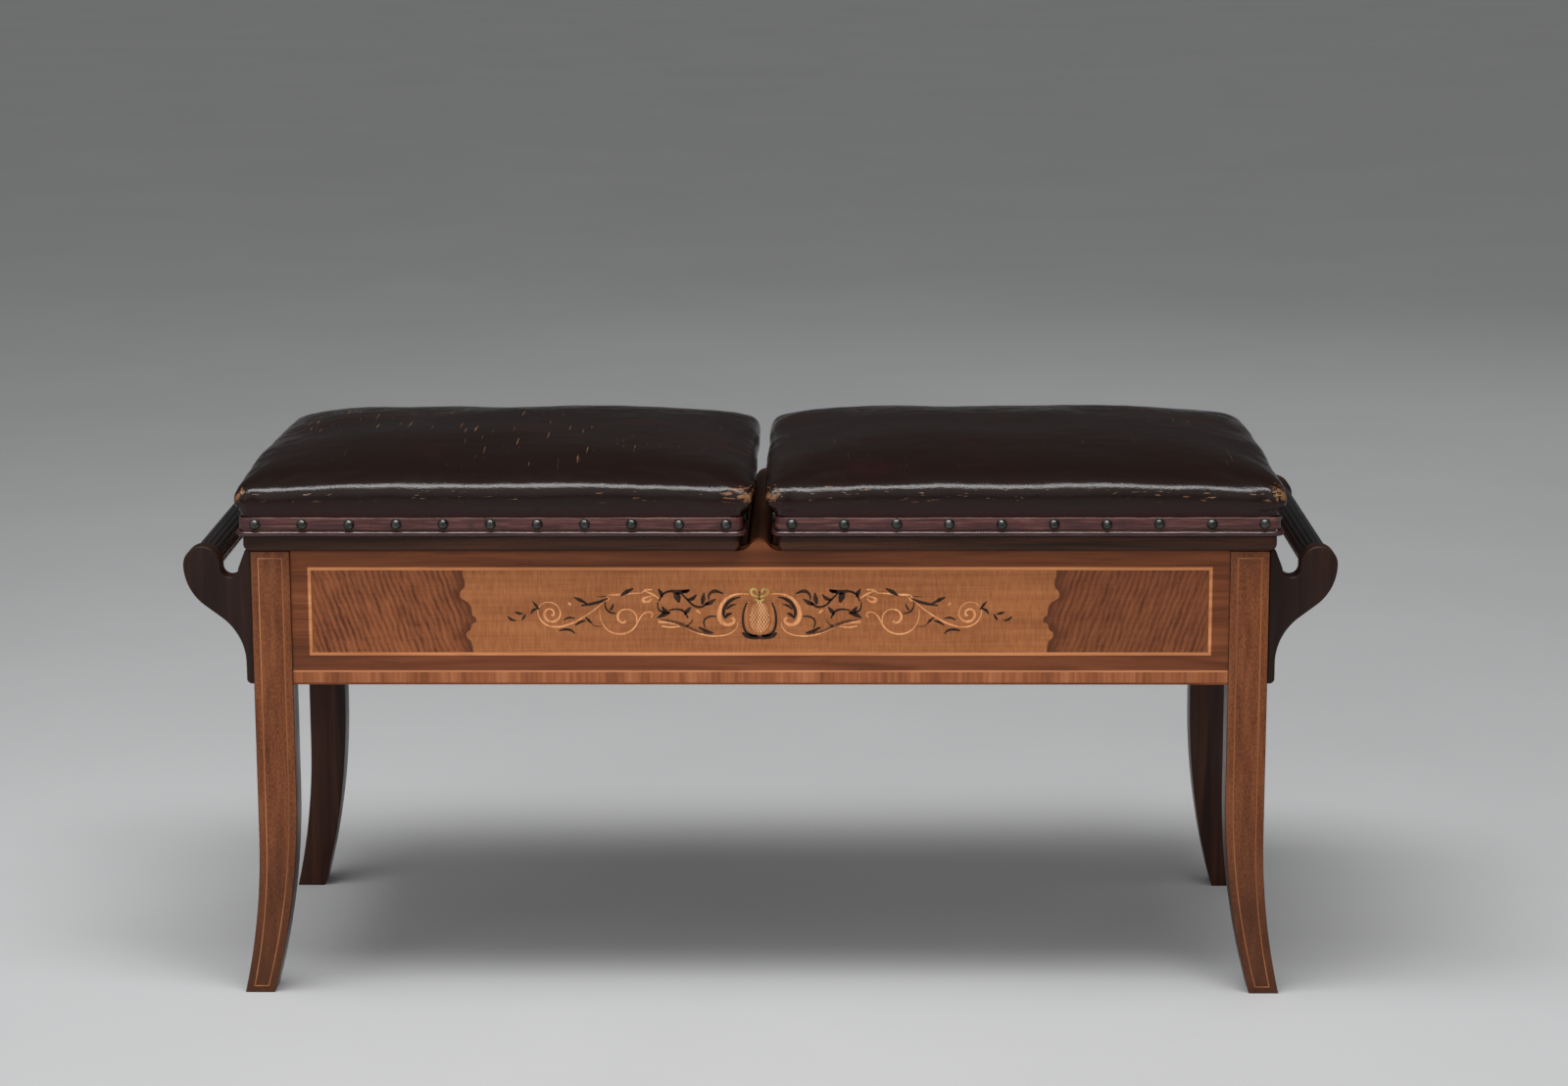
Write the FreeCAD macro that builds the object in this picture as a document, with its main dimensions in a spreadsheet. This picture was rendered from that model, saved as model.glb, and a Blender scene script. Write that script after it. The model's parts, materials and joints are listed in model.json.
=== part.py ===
import FreeCAD, Part
import math
import os
import re
import Sketcher

# Duet piano stool: a long mahogany base on sabre legs, with a scroll bracket and a reeded grip at
# each end, and two upholstered seats that rise one by one on toothed racks held by sprung pawls.
# Millimetres. X runs along the stool, Y from front to back, Z up from the floor.
# Left and front are the negative sides, so side and row below are -1 or +1.

SIZES = {
    # base frame
    "leg_span": 980,
    "body_depth": 400,
    "rail_top": 443,
    "rail_height": 132,
    "leg_width": 38,
    "leg_depth": 34,
    "kick_outer": 18,
    "kick_inner": 27,
    "knee_outer": 157,
    "knee_inner": 201,
    "arris": 0.8,
    "rail_thickness": 22,
    "end_rail_thickness": 20,
    "rail_setback": 3,
    "tenon_length": 16,
    "tenon_thickness": 9,
    "tenon_shoulder": 12,
    "joint_clearance": 0.2,
    "overcut": 1,
    "pip_height": 10,
    "pip_radius": 11,
    "pip_fillet": 12,
    "bearer_lift": 14,
    "housing_depth": 5,
    # inlay on the front rail
    "inlay_thickness": 1.2,
    "panel_length": 865,
    "panel_height": 81,
    "panel_drop": 19,
    "stringing_width": 3,
    "fine_stringing_width": 1.6,
    "crossband_height": 10.5,
    "crossband_lift": 2,
    # scroll brackets and grips
    "bracket_thickness": 22,
    "bracket_setback": 6,
    "head_radius": 18,
    "head_reach": 48,
    "grip_drop": 14.5,
    "scroll_radius": 50,
    "neck_radius": 57,
    "scroll_angle": 53,
    "toe_width": 7.7,
    "toe_radius": 5,
    "notch_radius": 8.5,
    "notch_reach": 21.5,
    "notch_drop": 18,
    "horn_width": 6,
    "tongue_length": 7,
    "tongue_height": 60,
    "tongue_thickness": 9,
    "tongue_drop": 40,
    "spigot_radius": 8,
    "spigot_length": 12,
    "collar_radius": 16,
    "collar_width": 6,
    "cove_radius": 11.5,
    "cove_width": 5,
    "ring_radius": 15,
    "ring_width": 4,
    "grip_radius": 14.5,
    "reed_count": 16,
    "reed_height": 1.4,
    "reed_width": 6.4,
    "reed_crest": 2,
    # seats
    "seat_overhang": 6,
    "seat_gap": 37,
    "seat_clearance": 0.5,
    "seat_board_thickness": 16,
    "seat_corner_radius": 6,
    "ovolo_radius": 7,
    "pad_board_thickness": 19,
    "leather_thickness": 2,
    "leather_stand": 1.5,
    "stuffing_gap": 0.3,
    "band_height": 13,
    "band_thickness": 1.6,
    "welt_radius": 2.7,
    "welt_gap": 0.1,
    "welt_bevel": 1.6,
    "bulge": 8.5,
    "inner_bulge": 12.5,
    "cushion_corner_radius": 22,
    "bulge_height": 40,
    "shoulder_height": 62,
    "shoulder_run": 30,
    "crown_height": 77,
    "crown_run": 165,
    "nail_radius": 5,
    "nail_height": 2.6,
    "nail_crown_radius": 2.75,
    "nail_margin": 16,
    "left_nails_across": 11,
    "right_nails_across": 10,
    "nails_deep": 9,
    # seat skirts and their guides
    "skirt_height": 100,
    "skirt_thickness": 12,
    "running_gap": 1.5,
    "leg_gap": 2,
    "guide_width": 28,
    "guide_gap": 1,
    "guide_inset": 24,
    # ratchet
    "batten_width": 40,
    "batten_thickness": 20,
    "batten_lift": 7,
    "pivot_height": 390,
    "shaft_radius": 4,
    "shaft_clearance": 0.08,
    "rack_thickness": 6,
    "rack_width": 16,
    "rack_margin": 3.5,
    "tooth_pitch": 10,
    "tooth_count": 7,
    "tooth_depth": 6,
    "tooth_angle": 15,
    "tooth_root": 2,
    "tooth_land": 1.5,
    "pawl_thickness": 5,
    "pawl_width": 16,
    "nose_rise": 40,
    "nose_gap": 0.5,
    "arm_gap": 0.8,
    "bearing_thickness": 8,
    "bearing_foot": 34,
    "bearing_wall": 6,
    "bearing_inset": 18,
    "lever_length": 72,
    "lever_width": 8,
    "lever_thickness": 7,
    "spring_thickness": 1.2,
    "spring_width": 10,
    "spring_reach": 35,
    "spring_margin": 2,
}

doc = FreeCAD.newDocument("duet_stool")
sheet = doc.addObject("Spreadsheet::Sheet", "Sizes")
for row_number, (alias, number) in enumerate(SIZES.items(), start=1):
    sheet.set(f"A{row_number}", alias)
    sheet.set(f"B{row_number}", str(number))
    sheet.setAlias(f"B{row_number}", alias)
doc.recompute()


def full(text):
    """Put the sheet's name before each size that an expression uses."""
    def named(word):
        return "Sizes." + word.group() if word.group() in SIZES else word.group()
    return re.sub(r"[a-z_]+", named, text)


def value(text):
    return float(sheet.evalExpression(full(text)))


def bind(thing, prop, text):
    thing.setExpression(prop, full(text))


nodes = {}


def keep(label, thing):
    """Name a finished sub-part."""
    thing.Label = label
    nodes[label] = thing
    return thing


def at(thing, x="0", y="0", z="0"):
    for prop, text in (("x", x), ("y", y), ("z", z)):
        bind(thing, "Placement.Base." + prop, text)
    return thing


# Sketch helpers. A loop is a list of corners (across, up), or (across, up, radius, turn) where an arc
# leaves the corner, turn +1 anticlockwise and -1 clockwise, or one ("circle", across, up, radius).

def rectangle(left, right, low, high):
    return [(left, low), (right, low), (right, high), (left, high)]


def pin(sketch, geometry, point, across, up):
    for kind, text in (("DistanceX", across), ("DistanceY", up)):
        number = sketch.addConstraint(Sketcher.Constraint(kind, -1, 1, geometry, point, value(text)))
        bind(sketch, f"Constraints[{number}]", text)


def fix_radius(sketch, geometry, text):
    number = sketch.addConstraint(Sketcher.Constraint("Radius", geometry, value(text)))
    bind(sketch, f"Constraints[{number}]", text)


def draw_circle(sketch, across, up, radius):
    centre = FreeCAD.Vector(value(across), value(up), 0)
    geometry = sketch.addGeometry(Part.Circle(centre, FreeCAD.Vector(0, 0, 1), value(radius)), False)
    pin(sketch, geometry, 3, across, up)
    fix_radius(sketch, geometry, radius)


def arc_between(start, end, radius, turn):
    """A short arc, which the sketch keeps anticlockwise, so a clockwise one is drawn from its end."""
    first, last = (start, end) if turn > 0 else (end, start)
    chord = last - first
    rise = math.sqrt(max(radius ** 2 - chord.Length ** 2 / 4, 0))
    centre = (first + last) * 0.5 + FreeCAD.Vector(-chord.y, chord.x, 0).normalize() * rise
    angles = [math.atan2(point.y - centre.y, point.x - centre.x) for point in (first, last)]
    return Part.ArcOfCircle(Part.Circle(centre, FreeCAD.Vector(0, 0, 1), radius), *angles)


def draw_loop(sketch, corners):
    spots = [FreeCAD.Vector(value(corner[0]), value(corner[1]), 0) for corner in corners]
    ends = []
    for number, corner in enumerate(corners):
        start = spots[number]
        end = spots[(number + 1) % len(spots)]
        if len(corner) == 2:
            geometry = sketch.addGeometry(Part.LineSegment(start, end), False)
            ends.append((geometry, 1, 2))
        else:
            geometry = sketch.addGeometry(arc_between(start, end, value(corner[2]), corner[3]), False)
            ends.append((geometry, 1, 2) if corner[3] > 0 else (geometry, 2, 1))
    for number, (geometry, first, last) in enumerate(ends):
        following = ends[(number + 1) % len(ends)]
        sketch.addConstraint(Sketcher.Constraint("Coincident", geometry, last, following[0], following[1]))
    for (geometry, first, last), corner in zip(ends, corners):
        pin(sketch, geometry, first, corner[0], corner[1])
        if len(corner) == 4:
            fix_radius(sketch, geometry, corner[2])


def origin_of(body, role):
    return next(item for item in body.Origin.OriginFeatures if item.Role == role)


def sketch_on(body, plane, offset, loops):
    """Sketch on an origin plane: XY, XZ (its normal points to the front) or YZ."""
    sketch = body.newObject("Sketcher::SketchObject", body.Name + "_outline")
    sketch.AttachmentSupport = (origin_of(body, plane + "_Plane"), [""])
    sketch.MapMode = "FlatFace"
    bind(sketch, "AttachmentOffset.Base.z", offset)
    for loop in loops:
        if loop[0] == "circle":
            draw_circle(sketch, *loop[1:])
        else:
            draw_loop(sketch, loop)
    return sketch


def new_body(name):
    return doc.addObject("PartDesign::Body", name)


def pad(body, plane, length, *loops, offset="0", symmetric=True):
    feature = body.newObject("PartDesign::Pad", body.Name + "_pad")
    feature.Profile = sketch_on(body, plane, offset, loops)
    feature.SideType = "Symmetric" if symmetric else "One side"
    bind(feature, "Length", length)
    return feature


def cut(body, plane, offset, reach, *loops):
    """Cut the loops to the given reach on both sides of their plane."""
    feature = body.newObject("PartDesign::Pocket", body.Name + "_cut")
    feature.Profile = sketch_on(body, plane, offset, loops)
    feature.SideType = "Symmetric"
    bind(feature, "Length", f"2 * ({reach})")
    return feature


def dress_edges(body, kind, size, chosen):
    """Round (Fillet) or bevel (Chamfer) the edges of the body's last shape that the test picks."""
    doc.recompute()
    base = body.Tip
    names = [f"Edge{number}" for number, edge in enumerate(base.Shape.Edges, start=1) if chosen(edge)]
    feature = body.newObject("PartDesign::" + kind, body.Name + "_edges")
    feature.Base = (base, names)
    bind(feature, "Radius" if kind == "Fillet" else "Size", size)
    return feature


def box(name, x_span, y_span, z_span):
    """A plain board between two planes on each axis."""
    board = doc.addObject("Part::Box", name)
    for (low, high), side, axis in zip((x_span, y_span, z_span), ("Length", "Width", "Height"), "xyz"):
        bind(board, side, f"({high}) - ({low})")
        bind(board, "Placement.Base." + axis, low)
    return board


def group(label, things):
    together = doc.addObject("Part::Compound", label)
    together.Links = things
    return keep(label, together)


def sided(side, near, far):
    """The same span on the left or the right of the stool, lower end first."""
    return (near, far) if side > 0 else (f"-({far})", f"-({near})")


# Lines that several pieces share
leg_face = "leg_span / 2"
leg_inside = f"({leg_face} - leg_width)"
front_face = "body_depth / 2"
leg_back = f"({front_face} - leg_depth)"
rail_bottom = "(rail_top - rail_height)"
rail_face = f"({front_face} - rail_setback)"
rail_inside = f"({rail_face} - rail_thickness)"
end_face = f"({leg_face} - rail_setback)"
end_inside = f"({end_face} - end_rail_thickness)"
grip_height = "(rail_top - grip_drop)"
tongue_high = "(rail_top - tongue_drop)"
tongue_low = f"({tongue_high} - tongue_height)"
bracket_inside = f"({front_face} - bracket_setback - bracket_thickness)"
bearer_side = "pip_radius"
bearer_bottom = f"({rail_bottom} + bearer_lift)"
pip_centre = "(rail_top + pip_height - pip_radius)"
seat_bottom = "(rail_top + seat_clearance)"
seat_top = f"({seat_bottom} + seat_board_thickness)"
seat_inner = "(seat_gap / 2)"
seat_outer = f"({leg_face} + seat_overhang)"
seat_front = f"({front_face} + seat_overhang)"
skirt_inner = f"({bearer_side} + running_gap)"
skirt_outer = f"({leg_inside} - leg_gap)"
skirt_front = f"({leg_back} - leg_gap)"
skirt_bottom = f"({seat_bottom} - skirt_height)"
middle = f"(({skirt_inner} + {skirt_outer}) / 2)"
batten_bottom = f"({rail_bottom} + batten_lift)"
batten_top = f"({batten_bottom} + batten_thickness)"
panel_top = "(rail_top - panel_drop)"
panel_bottom = f"({panel_top} - panel_height)"
crossband_bottom = f"({rail_bottom} + crossband_lift)"
crossband_top = f"({crossband_bottom} + crossband_height)"

sides = {"left": -1, "right": 1}
rows = {"front": -1, "back": 1}
small = 0.01


# Legs: straight above the knee, kicked out below it by one arc on each edge

def sweep_radius(knee, kick):
    return f"({knee} ^ 2 + {kick} ^ 2) / (2 * {kick})"


def make_leg(name, side, row):
    body = new_body(name)
    outline = [
        (f"{side} * ({leg_inside} + kick_inner)", "0"),
        (f"{side} * ({leg_face} + kick_outer)", "0", sweep_radius("knee_outer", "kick_outer"), -side),
        (f"{side} * {leg_face}", "knee_outer"),
        (f"{side} * {leg_face}", "rail_top"),
        (f"{side} * {leg_inside}", "rail_top"),
        (f"{side} * {leg_inside}", "knee_inner", sweep_radius("knee_inner", "kick_inner"), side),
    ]
    pad(body, "XZ", "leg_depth", outline)
    half = value("leg_depth") / 2
    dress_edges(body, "Chamfer", "arris", lambda edge: edge.BoundBox.ZLength > small
                and edge.BoundBox.YLength < small and abs(abs(edge.CenterOfMass.y) - half) < small)
    low = f"{rail_bottom} + tenon_shoulder - joint_clearance"
    high = "rail_top - tenon_shoulder + joint_clearance"
    slot = "tenon_thickness / 2 + joint_clearance"
    depth = "(tenon_length + joint_clearance)"
    along = sided(side, f"{leg_inside} - overcut", f"{leg_inside} + {depth}")
    rail_line = f"{-row} * (leg_depth / 2 - rail_setback - rail_thickness / 2)"
    cut(body, "XZ", rail_line, slot, rectangle(*along, low, high))
    across = sided(-row, f"leg_depth / 2 - {depth}", "leg_depth / 2 + overcut")
    end_line = f"{side} * ({end_face} - end_rail_thickness / 2)"
    cut(body, "YZ", end_line, slot, rectangle(*across, low, high))
    tongue_line = f"{row} * (leg_depth / 2 - bracket_setback - bracket_thickness / 2)"
    tongue_slot = "(tongue_thickness / 2 + joint_clearance)"
    across = (f"{tongue_line} - {tongue_slot}", f"{tongue_line} + {tongue_slot}")
    up = (f"{tongue_low} - joint_clearance", f"{tongue_high} + joint_clearance")
    cut(body, "YZ", f"{side} * {leg_face}", "tongue_length + joint_clearance", rectangle(*across, *up))
    at(body, y=f"{row} * ({front_face} - leg_depth / 2)")
    return keep(name, body)


# Long rails: a half-round pip at mid length, tenons at the ends, housings behind

def make_long_rail(name, row):
    body = new_body(name)
    reach = "(pip_radius + pip_fillet)"
    fall = "(pip_fillet + pip_radius - pip_height)"
    foot = f"sqrt({reach} ^ 2 - {fall} ^ 2)"
    touch_across = f"{foot} * pip_radius / {reach}"
    touch_up = f"{pip_centre} + {fall} * pip_radius / {reach}"
    outline = [
        (f"-{leg_inside}", rail_bottom),
        (leg_inside, rail_bottom),
        (leg_inside, "rail_top"),
        (foot, "rail_top", "pip_fillet", -1),
        (touch_across, touch_up, "pip_radius", 1),
        (f"-{touch_across}", touch_up, "pip_fillet", -1),
        (f"-{foot}", "rail_top"),
        (f"-{leg_inside}", "rail_top"),
    ]
    pad(body, "XZ", "rail_thickness", outline)
    tongue = f"{leg_inside} + tenon_length"
    pad(body, "XZ", "tenon_thickness", rectangle(f"-({tongue})", tongue, f"{rail_bottom} + tenon_shoulder",
                                                 "rail_top - tenon_shoulder"))
    inside = f"{row} * rail_thickness / 2"
    above = f"{pip_centre} + pip_radius + overcut"
    housings = [rectangle(f"-{bearer_side}", bearer_side, bearer_bottom, above)]
    for side in sides.values():
        span = sided(side, f"{middle} - batten_width / 2", f"{middle} + batten_width / 2")
        housings.append(rectangle(*span, batten_bottom, batten_top))
    cut(body, "XZ", inside, "housing_depth", *housings)
    if row < 0:
        frame_half = "panel_length / 2 + stringing_width"
        recess = [
            rectangle(f"-({frame_half})", frame_half, f"{panel_bottom} - stringing_width",
                      f"{panel_top} + stringing_width"),
            rectangle(f"-{leg_inside} - overcut", f"{leg_inside} + overcut", crossband_bottom,
                      f"{crossband_top} + fine_stringing_width"),
        ]
        cut(body, "XZ", "rail_thickness / 2", "inlay_thickness", *recess)
    at(body, y=f"{row} * ({rail_face} - rail_thickness / 2)")
    return keep(name, body)


def make_end_rail(name, side):
    body = new_body(name)
    pad(body, "YZ", "end_rail_thickness", rectangle(f"-{leg_back}", leg_back, rail_bottom, "rail_top"))
    tongue = f"{leg_back} + tenon_length"
    pad(body, "YZ", "tenon_thickness", rectangle(f"-({tongue})", tongue, f"{rail_bottom} + tenon_shoulder",
                                                 "rail_top - tenon_shoulder"))
    at(body, x=f"{side} * ({end_face} - end_rail_thickness / 2)")
    return keep(name, body)


def make_bearer():
    """The board between the seats, rounded on top to follow the pips of the long rails."""
    body = new_body("centre_bearer")
    section = [
        (f"-{bearer_side}", bearer_bottom),
        (bearer_side, bearer_bottom),
        (bearer_side, pip_centre, "pip_radius", 1),
        ("0", f"{pip_centre} + pip_radius", "pip_radius", 1),
        (f"-{bearer_side}", pip_centre),
    ]
    pad(body, "XZ", f"2 * ({rail_inside} + housing_depth)", section)
    return keep("centre_bearer", body)


def make_batten(name, side):
    span = sided(side, f"{middle} - batten_width / 2", f"{middle} + batten_width / 2")
    reach = f"{rail_inside} + housing_depth"
    return keep(name, box(name, span, (f"-({reach})", reach), (batten_bottom, batten_top)))


def make_guides(name, side):
    """Upright strips that the skirt slides between: two on each rail round the seat."""
    strips = []
    low, high = rail_bottom, "rail_top - guide_gap"
    for row in rows.values():
        across = sided(row, f"{skirt_front} + guide_gap", rail_inside)
        for start in (f"{skirt_inner} + guide_inset", f"{skirt_outer} - guide_inset - guide_width"):
            along = sided(side, start, f"{start} + guide_width")
            strips.append(box(name + "_strip", along, across, (low, high)))
        along = sided(side, f"{skirt_outer} + guide_gap", end_inside)
        across = sided(row, f"{skirt_front} - guide_inset - guide_width", f"{skirt_front} - guide_inset")
        strips.append(box(name + "_strip", along, across, (low, high)))
    return group(name, strips)


# Inlay on the front rail: panel, stringing and crossbanding, flush with the face

def make_inlay():
    depth = (f"-{rail_face}", f"-{rail_face} + inlay_thickness")
    half = "panel_length / 2"
    edge = f"{half} + stringing_width"
    keep("front_panel", box("front_panel", (f"-{half}", half), depth, (panel_bottom, panel_top)))
    along = (f"-{leg_inside}", leg_inside)
    keep("front_crossband", box("front_crossband", along, depth, (crossband_bottom, crossband_top)))
    strips = []
    for low in (panel_top, f"{panel_bottom} - stringing_width"):
        strips.append(box("stringing", (f"-({edge})", edge), depth, (low, f"{low} + stringing_width")))
    for side in sides.values():
        strips.append(box("stringing", sided(side, half, edge), depth, (panel_bottom, panel_top)))
    lower = (crossband_top, f"{crossband_top} + fine_stringing_width")
    strips.append(box("stringing", along, depth, lower))
    group("front_stringing", strips)


# Scroll brackets: a toe up the leg, a hollow neck, a rolled head that holds the grip, a notch and a horn

def make_bracket(name, side, row):
    body = new_body(name)
    sine = "sin(scroll_angle * 1 deg)"
    cosine = "cos(scroll_angle * 1 deg)"
    slope = "tan(90 deg - scroll_angle * 1 deg)"
    tip = "(head_reach + head_radius)"
    scroll_across = f"({tip} - scroll_radius * (1 - {cosine}))"
    scroll_up = f"({grip_height} - scroll_radius * {sine})"
    neck_across = f"(toe_width + neck_radius * (1 - {cosine}))"
    neck_up = f"({scroll_up} - ({scroll_across} - {neck_across}) * {slope})"
    hollow_start = f"{neck_up} - neck_radius * {sine}"
    notch_side = "(notch_reach + notch_radius)"
    notch_up = "(rail_top - notch_drop)"
    head_side = f"({notch_side} - head_reach)"
    head_up = f"{grip_height} + sqrt(head_radius ^ 2 - {head_side} ^ 2)"
    points = [
        ("0", rail_bottom),
        ("toe_width - toe_radius", rail_bottom, "toe_radius", 1),
        ("toe_width", f"{rail_bottom} + toe_radius"),
        ("toe_width", hollow_start, "neck_radius", -1),
        (neck_across, neck_up),
        (scroll_across, scroll_up, "scroll_radius", 1),
        (tip, grip_height, "head_radius", 1),
        ("head_reach", f"{grip_height} + head_radius", "head_radius", 1),
        (notch_side, head_up),
        (notch_side, notch_up, "notch_radius", -1),
        ("notch_reach", f"{notch_up} - notch_radius", "notch_radius", -1),
        ("notch_reach - notch_radius", notch_up),
        ("horn_width", "rail_top"),
        ("0", "rail_top"),
    ]
    outline = []
    for point in points:
        place = (f"{side} * ({leg_face} + {point[0]})", point[1])
        outline.append(place + ((point[2], point[3] * side) if len(point) == 4 else ()))
    pad(body, "XZ", "bracket_thickness", outline)
    hole = ("circle", f"{side} * ({leg_face} + head_reach)", grip_height, "spigot_radius + joint_clearance")
    cut(body, "XZ", f"{row} * bracket_thickness / 2", "spigot_length + joint_clearance", hole)
    tongue = sided(side, f"{leg_face} - tongue_length", f"{leg_face} + toe_width / 2")
    pad(body, "XZ", "tongue_thickness", rectangle(*tongue, tongue_low, tongue_high))
    at(body, y=f"{row} * ({bracket_inside} + bracket_thickness / 2)")
    return keep(name, body)


# Grips: turned with a collar, a cove and a ring at each end, and reeded between them

def make_grip(name, side):
    body = new_body(name)
    spigot_end = f"({bracket_inside} + spigot_length)"
    shoulder = f"({bracket_inside} - joint_clearance)"
    cove_start = f"({shoulder} - collar_width)"
    ring_start = f"({cove_start} - cove_width)"
    reeds_start = f"({ring_start} - ring_width)"
    core = "(grip_radius - reed_height)"
    half = [
        (spigot_end, "0"),
        (spigot_end, "spigot_radius"),
        (shoulder, "spigot_radius"),
        (shoulder, "collar_radius"),
        (cove_start, "collar_radius"),
        (cove_start, "cove_radius"),
        (ring_start, "cove_radius"),
        (ring_start, "ring_radius"),
        (reeds_start, "ring_radius"),
        (reeds_start, core),
    ]
    mirrored = [(f"-({along})", radius) for along, radius in reversed(half)]
    turned = body.newObject("PartDesign::Revolution", name + "_turned")
    turned.Profile = sketch_on(body, "YZ", "0", [half + mirrored])
    turned.ReferenceAxis = (turned.Profile[0], ["H_Axis"])
    turned.Angle = 360
    doc.recompute()
    section = [
        ("-reed_width / 2", f"{core} - reed_height / 2"),
        ("reed_width / 2", f"{core} - reed_height / 2"),
        ("reed_crest / 2", "grip_radius"),
        ("-reed_crest / 2", "grip_radius"),
    ]
    reed = pad(body, "XZ", f"2 * {reeds_start}", section)
    doc.recompute()
    around = body.newObject("PartDesign::PolarPattern", name + "_reeds")
    around.Originals = [reed]
    around.Axis = (origin_of(body, "Y_Axis"), [""])
    around.Angle = 360
    bind(around, "Occurrences", "reed_count")
    body.Tip = around
    at(body, f"{side} * ({leg_face} + head_reach)", "0", grip_height)
    return keep(name, body)


# Seats: moulded board, pad board, stuffing, leather cover, band, welt and dome nails

def rounded_rectangle(x_low, x_high, y_low, y_high, radius):
    """A rectangle with round corners as sketch corners, anticlockwise from the front left."""
    return [
        (f"{x_low} + {radius}", y_low),
        (f"{x_high} - {radius}", y_low, radius, 1),
        (x_high, f"{y_low} + {radius}"),
        (x_high, f"{y_high} - {radius}", radius, 1),
        (f"{x_high} - {radius}", y_high),
        (f"{x_low} + {radius}", y_high, radius, 1),
        (x_low, f"{y_high} - {radius}"),
        (x_low, f"{y_low} + {radius}", radius, 1),
    ]


def seat_outline(side, stand, radius):
    """The seat board's plan, grown on all four sides."""
    x_low, x_high = sided(side, f"{seat_inner} - ({stand})", f"{seat_outer} + ({stand})")
    deep = f"({seat_front} + ({stand}))"
    return rounded_rectangle(f"({x_low})", f"({x_high})", f"-{deep}", deep, f"({radius})")


def make_seat_board(name, side):
    body = new_body(name)
    pad(body, "XY", "seat_board_thickness", seat_outline(side, "0", "seat_corner_radius"), symmetric=False)
    dress_edges(body, "Fillet", "ovolo_radius", lambda edge: edge.BoundBox.ZMax < small)
    at(body, z=seat_bottom)
    return keep(name, body)


def make_pad_board(name, side):
    body = new_body(name)
    inset = "leather_stand - leather_thickness - stuffing_gap"
    outline = seat_outline(side, inset, "seat_corner_radius + leather_stand")
    pad(body, "XY", "pad_board_thickness", outline, symmetric=False)
    at(body, z=seat_top)
    return keep(name, body)


def make_ring(name, side, inner, thickness, height, lift):
    """A strip that goes round the seat."""
    body = new_body(name)
    outer = seat_outline(side, f"{inner} + {thickness}", f"seat_corner_radius + {inner} + {thickness}")
    hole = seat_outline(side, inner, f"seat_corner_radius + {inner}")
    pad(body, "XY", height, outer, hole, symmetric=False)
    at(body, z=f"{seat_top} + {lift}")
    return keep(name, body)


def make_welt(name, side):
    """The cord under the band: a strip with its outer edges bevelled."""
    thickness = "2 * welt_radius"
    body = make_ring(name, side, "leather_stand + welt_gap", thickness, thickness, "welt_gap")
    outside = value(f"{seat_front} + leather_stand + welt_gap + welt_radius")
    x_inner = value(f"{seat_inner} - leather_stand - welt_gap - welt_radius")
    x_outer = value(f"{seat_outer} + leather_stand + welt_gap + welt_radius")
    dress_edges(body, "Chamfer", "welt_bevel", lambda edge: edge.BoundBox.ZLength < small and (
        abs(edge.CenterOfMass.y) > outside or abs(edge.CenterOfMass.x) > x_outer
        or abs(edge.CenterOfMass.x) < x_inner))
    return body


band_lift = "(2 * welt_radius + 2 * welt_gap)"
roll_angles = (30, 55, 80)
crown_shares = (0.3, 0.6, 1)


def cushion_rings(inset):
    """Heights and plan sizes of the cushion from the seat board up: flat side, bulge, roll, crown."""
    stand = value("leather_stand") - inset
    band_top = value(f"{band_lift} + band_height")
    rings = [(0, stand, 0), (band_top, stand, 0), (value("bulge_height"), stand, 1)]
    roll_rise = value("shoulder_height - bulge_height")
    for angle in roll_angles:
        turn = math.radians(angle)
        rings.append((value("bulge_height") + roll_rise * math.sin(turn),
                      stand - value("shoulder_run") * (1 - math.cos(turn)), 1))
    shoulder, crown = rings[-1][0], value("crown_height")
    start, end = -rings[-1][1], value("crown_run")
    for share in crown_shares:
        height = crown - (crown - shoulder) * (1 - share) ** 2
        rings.append((height, -(start + (end - start) * share), 1))
    base = value(seat_top)
    return [(base + height - (inset if bulged else 0), grow, bulged) for height, grow, bulged in rings]


def cushion_level(side, height, grow, bulged, corner_facets=4):
    """One level of the cushion in plan, with the same facets at the corners of every level."""
    inner_bulge = value("inner_bulge") * bulged
    bulge = value("bulge") * bulged
    near = side * (value(seat_inner) - grow - inner_bulge)
    far = side * (value(seat_outer) + grow + bulge)
    deep = value(seat_front) + grow + bulge
    x_low, x_high = min(near, far), max(near, far)
    radius = value("cushion_corner_radius" if bulged else "seat_corner_radius + leather_stand")
    spots = []
    corners = ((x_high - radius, radius - deep), (x_high - radius, deep - radius),
               (x_low + radius, deep - radius), (x_low + radius, radius - deep))
    for number, (x, y) in enumerate(corners):
        for step in range(corner_facets + 1):
            turn = math.radians(90 * (number - 1 + step / corner_facets))
            spots.append(FreeCAD.Vector(x + radius * math.cos(turn), y + radius * math.sin(turn), height))
    return spots


def flat_face(spots):
    return Part.Face(Part.makePolygon(spots + spots[:1]))


def faceted_solid(levels):
    """A solid with flat faces between levels that have the same number of corners."""
    faces = [flat_face(levels[0]), flat_face(levels[-1])]
    for low, high in zip(levels, levels[1:]):
        for number in range(len(low)):
            before = number - 1
            faces.append(flat_face([low[before], low[number], high[number], high[before]]))
    solid = Part.Solid(Part.Shell(faces))
    solid.fix(small, small, small)
    return solid if solid.Volume > 0 else solid.reversed()


def cushion(side, inset):
    """The closed cushion form, drawn in on all sides by the inset."""
    return faceted_solid([cushion_level(side, *ring) for ring in cushion_rings(inset)])


def make_cover(name, side):
    cover = doc.addObject("Part::Feature", name)
    cover.Shape = cushion(side, 0).cut(cushion(side, value("leather_thickness")))
    return keep(name, cover)


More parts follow.
